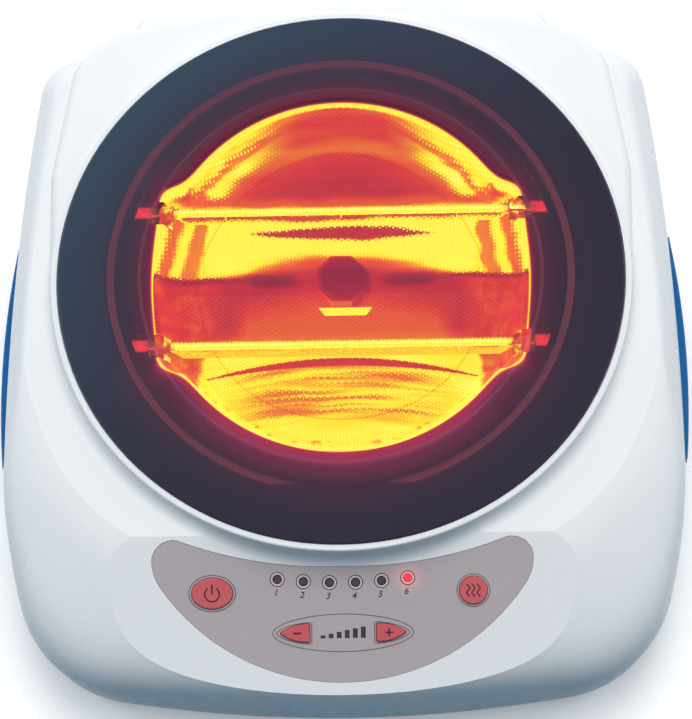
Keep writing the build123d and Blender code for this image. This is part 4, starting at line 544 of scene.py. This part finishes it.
side_strips = steps(
    dish, leaning, 70, 96, (70, 0.9), (71.5, BRIGHT), (73, 0.72), (79, 0.68), (81, 0.93), (85, 0.93),
    (87, 0.6), (90, 0.64), (91.5, 0.93), (96, 0.93),
)
strips_share = dish.math("MULTIPLY", dish.span(rough_aside, 70, 71), dish.span(rough_y, 1.5, 3.5))
between_lamps = dish.between(strips_share, between_lamps, side_strips)

# painted reflection in front of the front lamp: yellow, with bowed orange streaks
bowed = dish.math("ADD", rough_y, dish.math("MULTIPLY", square, 0.0018))
lines = dish.tree.nodes.new("ShaderNodeCombineXYZ")
dish.feed(lines.inputs[0], dish.math("MULTIPLY", x, 0.05))
dish.feed(lines.inputs[1], bowed)
streaks = dish.span(dish.noise(0.34, 2.0, lines.outputs[0]), 0.36, 0.6, 0.66, 0.93)
streak_share = dish.math("MULTIPLY", dish.span(rough_aside, 62, 34), stretch(dish, bowed, -57, 12, 8))
near = dish.between(streak_share, dish.span(waves, -0.2, 0.2, 0.9, 0.96), streaks)
arc = dish.math("ADD", dish.math("MULTIPLY_ADD", square, 0.0019, y), dish.math("MULTIPLY", bump, 0.4))
arc_half = dish.math("MULTIPLY_ADD", square, -1.9 / 68**2, 1.9)
near = dish.between(stretch(dish, arc, -40.2, arc_half, 0.5), near, 0.42)
loose = dish.math("MULTIPLY_ADD", waves, 14.0, dish.math("MULTIPLY_ADD", y, 0.12, aside))
corner = dish.math("MULTIPLY", dish.span(loose, 65, 68), dish.span(rough_y, -62, -58))
near = dish.between(corner, near, dish.span(dish.noise(160, 2.0), 0.35, 0.7, 0.54, 0.72))

glow_level = dish.between(dish.math("GREATER_THAN", y, LAMP_Y + 1), between_lamps, far)
glow_level = dish.between(dish.math("GREATER_THAN", y, -LAMP_Y), near, glow_level)

# the octagonal boss in the middle is painted dim, with a painted highlight on one facet in front
off_x = dish.math("ABSOLUTE", dish.math("SUBTRACT", x, BOSS_X))
off_y = dish.math("ABSOLUTE", y)
off_corner = dish.math("MULTIPLY", dish.math("ADD", off_x, off_y), math.sqrt(0.5))
boss_reach = dish.math("MAXIMUM", dish.math("MAXIMUM", off_x, off_y), off_corner)
boss = steps(dish, y, -13, 13, (-13, 0.3), (-4, 0.2), (4, 0.16), (9, 0.24), (13, 0.34))
glow_level = dish.between(dish.span(boss_reach, 14.5, 11.0), glow_level, boss)
slanted = dish.math("LESS_THAN", dish.math("MULTIPLY_ADD", y, -0.9, off_x), 25.4)
facet = dish.math("MULTIPLY", slanted, stretch(dish, y, -14.6, 1.8, 0.1))
glow_level = dish.between(facet, glow_level, BRIGHT)

# a thin painted highlight runs round the rim, with a faint painted dark circle inside it; painted dark spots
# lie near the front of the rim, and the dimples get painted shading
rim_width = steps(
    dish, y, -100, 100, (-100, 4.0), (-50, 1.2), (-36, 0.6), (0, 0.8), (10, 2.4), (60, 3.2), (100, 2.6)
)
past_rim = dish.math("SUBTRACT", dish.math("MULTIPLY_ADD", bump, 0.3, inside), rim_width)
glow_level = dish.between(dish.span(past_rim, 0.0, 0.6, 1.0, 0.0), glow_level, BRIGHT)
faint = dish.math("MULTIPLY", stretch(dish, radius, CIRCLE_RADIUS, 0.25, 0.5), 0.07)
spots = dish.span(dish.noise(170, 2.0), 0.56, 0.66)
spots = dish.math("MULTIPLY", stretch(dish, inside, 5.5, 1.5, 1.0), spots)
spots = dish.math("MULTIPLY", spots, dish.span(y, -30, -45, 0.0, 0.14))
glow_level = dish.math("SUBTRACT", glow_level, dish.math("ADD", faint, spots))
glow_level = dish.math("ADD", glow_level, dish.math("MULTIPLY", bump, 0.045))

# past the rim the flange gets painted light for what spills over it, reaching further in front than at the
# sides
on_flange = dish.span(inside, -0.5, 0.5, 1.0, 0.0)
spill_reach = dish.span(y, -45, -80, 1.0, 8.0)
past_edge = dish.math("DIVIDE", inside, spill_reach)
spill = dish.ramp(dish.math("MULTIPLY", past_edge, -1.0), (0.0, 0.2), (0.5, 0.12), (0.9, 0.03), (1.0, 0.0))
glow_level = dish.between(on_flange, glow_level, spill)
dimmed = dish.math("MULTIPLY", on_flange, dish.span(past_edge, -0.6, -2.4, 0.0, 0.86))
# all of this goes on the dish as painted light of its own, on faces that look up
glow(dish, glow_level, dish.math("MULTIPLY", dish.math("SUBTRACT", 1.0, dimmed), faces_up(dish)))
dish.drive(
    base_color=dish.between(dish.noise(60), paint(120, 96, 88), paint(96, 70, 64)),
    roughness=dish.span(bump, -1, 1, 0.3, 0.5),
)
dish.relief(bump, 0.0003)
wear(dish, "reflector_dish")


def hot_spots(finish, brightest):
    """The dish's light, painted on a rough surface beside it in spots up to the brightest."""
    return finish.ramp(finish.span(finish.noise(190, 3.0), 0.34, 0.62, 0.3, brightest), *GLOW_COLOURS)


def halo(name, light, dark, gloss, metallic, strength, reach=0.0, brightest=1.0):
    """A surface round the dish, with painted light: a dull red glow painted for what spills over the rim, and
    painted spots of the dish's light inside the rim.
    """
    made = Finish(name, metallic=metallic)
    inside = inside_outline(made, *heater_place(made))
    marks = made.noise(400, 3.0)
    blur = made.math("MULTIPLY_ADD", made.noise(120), 0.08, -0.04)
    painted_spill = made.ramp(
        made.math("ADD", made.span(inside, -26, 0), blur),
        (0.0, paint(20, 8, 16)), (0.7, paint(52, 18, 34)), (1.0, paint(84, 22, 40)),
    )
    painted_spill = made.between(strength, UNLIT, painted_spill)
    near_rim = made.span(inside, -0.4 - reach, 0.4 - reach)
    lit = made.between(near_rim, painted_spill, hot_spots(made, brightest))
    made.drive(
        base_color=made.between(marks, paint(*light), paint(*dark)),
        roughness=made.span(marks, 0.3, 0.7, *gloss),
        emission_color=made.between(faces_up(made), UNLIT, lit),
        emission_strength=1 / SEEN_THROUGH,
    )
    return made.relief(marks, 0.00004)


# the pan, the insulating ring, the thermal cutout and the brackets carry the dish's painted light
pan_steel = halo(
    "pan_steel", (96, 92, 92), (70, 66, 66), gloss=(0.4, 0.55), metallic=1.0, strength=0.8, reach=2.5
)
wear(pan_steel, "heater_pan")
insulation_fibre = halo(
    "insulation_fibre", (120, 112, 104), (96, 90, 84), gloss=(0.85, 0.95), metallic=0.0, strength=0.2
)
wear(insulation_fibre, "insulating_ring")
cutout_steel = halo(
    "cutout_steel", (44, 36, 38), (34, 28, 30), gloss=(0.6, 0.75), metallic=0.6, strength=0.2
)
wear(cutout_steel, "thermal_cutout")
# the brackets' colour is darkened with painted shade, and they are not metallic, so that the heater's light
# doesn't show on them
bracket_steel = halo(
    "bracket_steel", (52, 42, 44), (38, 30, 32),
    gloss=(0.8, 0.9), metallic=0.0, strength=0.8, reach=1.4, brightest=0.62,
)
wear(bracket_steel, "lamp_bracket_left", "lamp_bracket_right")
spring_steel = metal("spring_steel", (150, 152, 156), (110, 112, 118), gloss=(0.3, 0.45))
wear(spring_steel, "heater_spring_1", "heater_spring_2", "heater_spring_3")
support_steel = metal("support_steel", (176, 178, 182), (140, 143, 148), gloss=(0.35, 0.5))
wear(support_steel, "heater_support_1", "heater_support_2", "heater_support_3")


def along_lamp(finish, x, y):
    """Millimetres from the middle of the heater along a lamp, and across from the lamp's axis."""
    off_axis = finish.math("SUBTRACT", finish.math("ABSOLUTE", y), LAMP_Y)
    return finish.math("ABSOLUTE", x), finish.math("MULTIPLY", off_axis, finish.math("SIGN", y))


# the ceramic caps are darkened with painted shade, and get a painted red glow on top, over the pinched end of
# the tube, and painted spots of the dish's light inside its outline
caps = Finish("cap_ceramic", roughness=0.6)
outward, off_axis = along_lamp(caps, *heater_place(caps))
cap_top = stretch(caps, off_axis, 0.0, 2.2, 1.4)
cap_top = caps.math("MULTIPLY", cap_top, stretch(caps, outward, 103.2, 4.0, 1.6))
cap_light = caps.math("MULTIPLY", cap_top, caps.span(caps.noise(260), 0.3, 0.6, 0.6, 1.0))
cap_painted_glow = caps.between(cap_light, paint(40, 12, 22), paint(238, 50, 52))
caps.drive(
    base_color=caps.between(caps.noise(120), paint(58, 30, 30), paint(44, 22, 24)),
    emission_color=caps.between(caps.span(outward, 94.5, 93.5), cap_painted_glow, hot_spots(caps, 1.0)),
    emission_strength=1 / SEEN_THROUGH,
)
wear(caps, "lamp_cap_front_left", "lamp_cap_front_right", "lamp_cap_rear_left", "lamp_cap_rear_right")

# the tubes are clear, and the light of the coil fills their core
quartz = Finish("quartz", roughness=0.05, ior=1.46)
x, y = heater_place(quartz)
outward, off_axis = along_lamp(quartz, x, y)
coils = quartz.math("COSINE", quartz.math("MULTIPLY", x, 3.1))
uneven = quartz.math("MULTIPLY_ADD", quartz.noise(420, 2.0), 1.2, 0.9)
core_half = quartz.math("MULTIPLY_ADD", coils, 0.4, uneven)
core = quartz.math("SUBTRACT", quartz.math("ABSOLUTE", off_axis), core_half)
upper = quartz.math("GREATER_THAN", quartz.axes()[2], TUBE_TOP * MM)
lit_core = quartz.math("MULTIPLY", quartz.span(core, 0.0, 0.3, 1.0, 0.0), upper)
lit_length = quartz.span(quartz.math("ADD", outward, coils), 87, 84, 0.0, 1.0)
lit_core = quartz.math("MULTIPLY", lit_core, lit_length)
glow(quartz, quartz.span(core, -1.6, 0.0, 1.0, 0.88))
quartz.drive(
    base_color=quartz.between(quartz.noise(200), paint(230, 200, 160), paint(220, 180, 140)),
    alpha=quartz.span(lit_core, 0.0, 1.0, 0.01, 0.95),
)
wear(quartz, "rear_lamp_tube", "front_lamp_tube")

# the tungsten coils are brightest at each turn, and cooler in the pinched ends
filament = Finish("filament_lit", roughness=0.4)
x, y = heater_place(filament)
turns = filament.math("COSINE", filament.math("MULTIPLY", x, 5.0))
cooler = filament.span(filament.math("ABSOLUTE", x), 84, 87, 1.0, 0.5)
glow(filament, filament.math("MULTIPLY", filament.span(turns, -1, 1, 0.9, 1.0), cooler))
filament.drive(base_color=filament.between(turns, paint(90, 80, 70), paint(120, 110, 100)))
wear(filament, "rear_filament", "front_filament")
lead_braid = moulded(
    "lead_braid", (214, 206, 190), (196, 186, 168), grain=2600, gloss=(0.7, 0.85), depth=0.0002
)
wear(lead_braid, "lamp_leads")

# ---------------------------------------------------------------- glass
# A black-tinted glass ceramic disc on a silicone ring. Two cooking zone rings are fired on its top face,
# and it lets through little more than the glow of the heater.
OUTER_BAND = 117.7      # millimetres: the middles and widths of the two fired rings
OUTER_BAND_WIDTH = 3.7
INNER_BAND = 102.9
INNER_BAND_WIDTH = 1.8
OPEN_FRONT = -114.1     # the outer ring is left open in front of this line

glass = Finish("cooking_glass", ior=1.5, specular_ior_level=0.15)
x, y = heater_place(glass)
radius = from_middle(glass, x, y)
# the sheet's light is painted: a painted glow halo of the heater under it, fading outwards, and a painted
# reflection of the sky, bluer towards the back and the left; the fired rings are real print, shown by painted
# light of their own pinkish colour
halo_reach = glass.span(y, -40, -80, 1.0, 3.4)
painted_glow_halo = glass.ramp(
    glass.span(glass.math("DIVIDE", inside_outline(glass, x, y), halo_reach), -14, 1),
    (0.0, paint(58, 40, 58)), (0.3, paint(74, 42, 62)), (0.62, paint(86, 40, 62)), (0.82, paint(104, 34, 60)),
    (0.92, paint(108, 28, 52)), (0.97, paint(92, 20, 38)), (1.0, paint(50, 10, 18)),
)
painted_sky_reflection = glass.ramp(
    glass.span(glass.math("MULTIPLY_ADD", x, -0.9, y), -70, 210),
    (0.0, paint(40, 34, 52)), (0.3, paint(40, 42, 60)), (0.6, paint(45, 56, 75)), (1.0, paint(46, 68, 87)),
)
sheet = glass.between(glass.span(radius, 98, 136), painted_glow_halo, painted_sky_reflection)
outer_band = glass.math("COMPARE", radius, OUTER_BAND, OUTER_BAND_WIDTH / 2)
outer_band = glass.math("MULTIPLY", outer_band, glass.math("GREATER_THAN", y, OPEN_FRONT))
ink = glass.math("MAXIMUM", outer_band, glass.math("COMPARE", radius, INNER_BAND, INNER_BAND_WIDTH / 2))
glass.drive(
    base_color=glass.between(glass.noise(30), paint(8, 10, 16), paint(12, 14, 20)),
    roughness=glass.between(ink, glass.span(glass.noise(60), 0.3, 0.7, 0.03, 0.06), 0.3),
    emission_color=glass.between(glass.math("MULTIPLY", ink, 0.7), sheet, paint(118, 62, 78)),
    emission_strength=1.0,
    alpha=glass.span(radius, 117, 123, 1 - math.sqrt(SEEN_THROUGH), 1.0),
)
glass.relief(glass.noise(14, 1.0), 0.00002)
wear(glass, "glass_plate")
gasket_silicone = moulded(
    "gasket_silicone", (34, 34, 36), (24, 24, 26), grain=1800, gloss=(0.5, 0.65), depth=0.00006
)
wear(gasket_silicone, "glass_gasket")

# ---------------------------------------------------------------- key panel
# A satin grey aluminium plate, glued into its recess, with its rings and numbers screen printed on it.
# Four soft red keys stand through it, each with its own sign printed on top.
PANEL_MIDDLE = Vector((0, -157.6, 60.9)) * MM
PANEL_TILT = Matrix.Rotation(math.radians(18), 4, "X")
ON_PLATE = -0.2         # millimetres from here on: the face of the plate, below the panel's own plane
ON_KEY = 0.9            # the top of the keys, above it
INK_DEPTH = 0.05
ON_OFF_PLACE = (-64.8, 15.4)
HEAT_LAMP_PLACE = (64.8, 15.4)
STEP_KEYS_U = 22.8
STEP_KEYS_V = -4.8
LIGHT_PITCH = 12.95
LIGHT_PLACES = [
    ((index - 2.5) * LIGHT_PITCH, 20 + ((index - 2.5) * LIGHT_PITCH) ** 2 / 524) for index in range(6)
]

# the sixth light is lit, and a little red light from it is painted on the plate round it
panel = moulded(
    "panel_satin", (186, 174, 177), (177, 166, 170), grain=3200, gloss=(0.45, 0.6), depth=0.00003
)
from_lit = panel.tree.nodes.new("ShaderNodeVectorMath")
from_lit.operation = "DISTANCE"
panel.feed(from_lit.inputs[0], panel.at)
from_lit.inputs[1].default_value = PANEL_MIDDLE + PANEL_TILT @ Vector((*LIGHT_PLACES[5], 0)) * MM
panel.drive(
    emission_color=panel.ramp(
        panel.span(from_lit.outputs["Value"], 0.002, 0.009),
        (0.0, paint(230, 60, 60)), (0.35, paint(110, 20, 22)), (1.0, 0.0),
    ),
    emission_strength=1.0,
)
wear(panel, "panel_plate")

key_plastic = moulded(
    "key_red", (212, 88, 94), (196, 70, 78), grain=1800, gloss=(0.28, 0.4), depth=0.00005, coat_weight=0.3
)
wear(key_plastic, "on_off_key", "heat_lamp_key", "minus_key", "plus_key")

ink_dark = moulded("ink_dark", (44, 36, 44), (34, 28, 36), grain=2600, gloss=(0.5, 0.65), depth=0.00001)
ink_line = moulded("ink_line", (112, 112, 108), (98, 98, 96), grain=2600, gloss=(0.5, 0.65), depth=0.00001)
ink_pale = moulded(
    "ink_pale", (214, 204, 204), (204, 194, 196), grain=2600, gloss=(0.5, 0.65), depth=0.00001
)


def printed(name, form, ink, level, body):
    """Gives flat faces, drawn in millimetres on the panel's plane, their ink on the plate or a key."""
    thickened = bmesh.ops.extrude_face_region(form, geom=form.faces[:])
    raised = [part for part in thickened["geom"] if isinstance(part, bmesh.types.BMVert)]
    bmesh.ops.translate(form, verts=raised, vec=(0, 0, INK_DEPTH))
    bmesh.ops.translate(form, verts=form.verts[:], vec=(0, 0, level))
    bmesh.ops.scale(form, verts=form.verts[:], vec=(MM, MM, MM))
    bmesh.ops.transform(form, matrix=Matrix.Translation(PANEL_MIDDLE) @ PANEL_TILT, verts=form.verts[:])
    bmesh.ops.recalc_face_normals(form, faces=form.faces[:])
    mesh = bpy.data.meshes.new(name)
    form.to_mesh(mesh)
    form.free()
    piece = bpy.data.objects.new(name, mesh)
    bpy.context.scene.collection.objects.link(piece)
    wear(ink, piece)
    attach(piece, body)


def line_round(form, places, width):
    """A closed line of this width along these places: a ring of edges, extruded and set apart."""
    ring = bmesh.ops.create_circle(form, segments=len(places), radius=1)["verts"]
    edges = dict.fromkeys(edge for corner in ring for edge in corner.link_edges)
    extruded = bmesh.ops.extrude_edge_only(form, edges=list(edges))["geom"]
    outer = {part for part in extruded if isinstance(part, bmesh.types.BMVert)}
    for index, corner in enumerate(ring):
        place = Vector((*places[index], 0))
        way = Vector((*places[(index + 1) % len(places)], 0)) - Vector((*places[index - 1], 0))
        aside = Vector((-way.y, way.x, 0)).normalized() * width / 2
        partners = [edge.other_vert(corner) for edge in corner.link_edges]
        corner.co = place - aside
        next(partner for partner in partners if partner in outer).co = place + aside


def oval(form, place, half_width, half_depth, width, power=2.0, corners=64):
    """A line round an oval, of this width. A power under 2 makes the ends more pointed."""
    places = []
    for index in range(corners):
        across = math.cos(2 * math.pi * index / corners)
        up = math.sin(2 * math.pi * index / corners)
        places.append((
            place[0] + half_width * math.copysign(abs(across) ** (2 / power), across),
            place[1] + half_depth * math.copysign(abs(up) ** (2 / power), up),
        ))
    line_round(form, places, width)


ARROW_END = 15.6        # the straight end of an arrowhead, from the middle of the panel
ARROW_LENGTH = 17.7
ARROW_HALF_WIDTH = 5.3
ARROW_STEPS = 14


def arrowhead(form, side, width):
    """A line round a step key: a straight inner end, and two bowed sides that meet in a blunt tip."""
    upper = []
    for index in range(ARROW_STEPS + 1):
        share = index / ARROW_STEPS
        bow = ARROW_HALF_WIDTH * (1 - share**1.9) ** 0.72
        upper.append((side * (ARROW_END + ARROW_LENGTH * share), STEP_KEYS_V + bow))
    lower = [(u, 2 * STEP_KEYS_V - v) for u, v in reversed(upper[:-1])]
    line_round(form, upper + lower, width)


def bar(form, u, v, half_width, half_depth, turn=0.0):
    """A small rectangle, turned by this many degrees."""
    place = Matrix.Translation((u, v, 0)) @ Matrix.Rotation(math.radians(turn), 4, "Z")
    place = place @ Matrix.Diagonal((half_width, half_depth, 1, 1))
    bmesh.ops.create_grid(form, x_segments=1, y_segments=1, size=1, matrix=place)


rings = bmesh.new()
oval(rings, ON_OFF_PLACE, 11.6, 9.0, 0.55)
oval(rings, HEAT_LAMP_PLACE, 8.1, 8.1, 0.5)
oval(rings, (0, STEP_KEYS_V), 35.0, 9.3, 0.5, 1.9)
arrowhead(rings, -1, 0.5)
arrowhead(rings, 1, 0.5)
printed("panel_rings", rings, ink_line, ON_PLATE, "housing")

light_rings = bmesh.new()
light_fields = bmesh.new()
for light_place in LIGHT_PLACES:
    oval(light_rings, light_place, 3.5, 3.5, 0.45, corners=40)
    oval(light_fields, light_place, 2.85, 2.85, 0.8, corners=40)
printed("light_rings", light_rings, ink_dark, ON_PLATE, "housing")
printed("light_fields", light_fields, ink_pale, ON_PLATE, "housing")

# the level sign between the step keys: six bars that rise to the right
level_bars = bmesh.new()
for step in range(6):
    half_height = 0.7 + 0.42 * step
    bar(level_bars, -10.0 + 4.0 * step, -7.4 + half_height, 1.2, half_height)
printed("level_bars", level_bars, ink_dark, ON_PLATE, "housing")

for number, (u, v) in enumerate(LIGHT_PLACES, start=1):
    label = bpy.data.curves.new(f"number_{number}", "FONT")
    label.body = str(number)
    label.size = 4.4
    label.shear = 0.25
    label.offset = 0.04
    label.align_x = "CENTER"
    label.align_y = "CENTER"
    flat = bpy.data.objects.new(f"number_{number}_flat", label)
    bpy.context.scene.collection.objects.link(flat)
    bpy.context.view_layer.update()
    drawn_flat = flat.evaluated_get(bpy.context.evaluated_depsgraph_get())
    figure = bmesh.new()
    figure.from_mesh(bpy.data.meshes.new_from_object(drawn_flat))
    bpy.data.objects.remove(flat)
    bmesh.ops.remove_doubles(figure, verts=figure.verts[:], dist=0.001)
    bmesh.ops.translate(figure, verts=figure.verts[:], vec=(u - 0.9, v - 6.7, 0))
    printed(f"number_{number}", figure, ink_dark, ON_PLATE, "housing")

# the power sign is a broken ring of short bars, with a stroke in its gap
SIGN_RADIUS = 3.6
SIGN_HALF_LINE = 0.36
RING_START = 125        # degrees, from the right edge over the top to the left side of the gap
RING_SWEEP = 290
RING_BARS = 30
power_sign = bmesh.new()
for index in range(RING_BARS):
    angle = RING_START + RING_SWEEP * (index + 0.5) / RING_BARS
    across = SIGN_RADIUS * math.cos(math.radians(angle))
    up = SIGN_RADIUS * math.sin(math.radians(angle))
    bar(power_sign, ON_OFF_PLACE[0] + across, 15.0 + up, 0.45, SIGN_HALF_LINE, angle + 90)
bar(power_sign, ON_OFF_PLACE[0], 17.4, 0.45, 2.4)
printed("power_sign", power_sign, ink_dark, ON_KEY, "on_off_key")

# the heat sign is three rising waves of short bars
WAVE_HEIGHT = 6.4
WAVE_SWING = 0.7
WAVE_PACE = 1.4         # radians of swing to a millimetre of rise
WAVE_PITCH = 2.6
WAVE_BARS = 12
heat_sign = bmesh.new()
for wave in (-1, 0, 1):
    for index in range(WAVE_BARS):
        rise = WAVE_HEIGHT * ((index + 0.5) / WAVE_BARS - 0.5)
        across = WAVE_PITCH * wave + WAVE_SWING * math.sin(WAVE_PACE * rise)
        lean = math.degrees(math.atan(WAVE_SWING * WAVE_PACE * math.cos(WAVE_PACE * rise)))
        bar(heat_sign, HEAT_LAMP_PLACE[0] + across, HEAT_LAMP_PLACE[1] + rise, 0.34, 0.36, -lean)
printed("heat_sign", heat_sign, ink_dark, ON_KEY, "heat_lamp_key")

minus_sign = bmesh.new()
bar(minus_sign, -STEP_KEYS_U, STEP_KEYS_V, 1.9, 0.5)
printed("minus_sign", minus_sign, ink_dark, ON_KEY, "minus_key")
plus_sign = bmesh.new()
bar(plus_sign, STEP_KEYS_U, STEP_KEYS_V, 2.0, 0.4)
bar(plus_sign, STEP_KEYS_U, STEP_KEYS_V + 1.2, 0.4, 0.8)
bar(plus_sign, STEP_KEYS_U, STEP_KEYS_V - 1.2, 0.4, 0.8)
printed("plus_sign", plus_sign, ink_dark, ON_KEY, "plus_key")

# ---------------------------------------------------------------- indicator lights
# Six light pipes of clear acrylic with domed tops, pressed into the plate over the display board.
# The sixth is lit, for the highest power.
unlit = moulded("light_lens", (84, 40, 66), (64, 30, 54), grain=900, gloss=(0.1, 0.2), depth=0.00004)
wear(unlit, *[f"indicator_{number}" for number in range(1, 6)])
lit = moulded("light_lit", (240, 40, 50), (230, 30, 44), grain=900, gloss=(0.1, 0.2), depth=0.00004)
lit.drive(emission_color=paint(246, 28, 44), emission_strength=1.0)
wear(lit, "indicator_6")
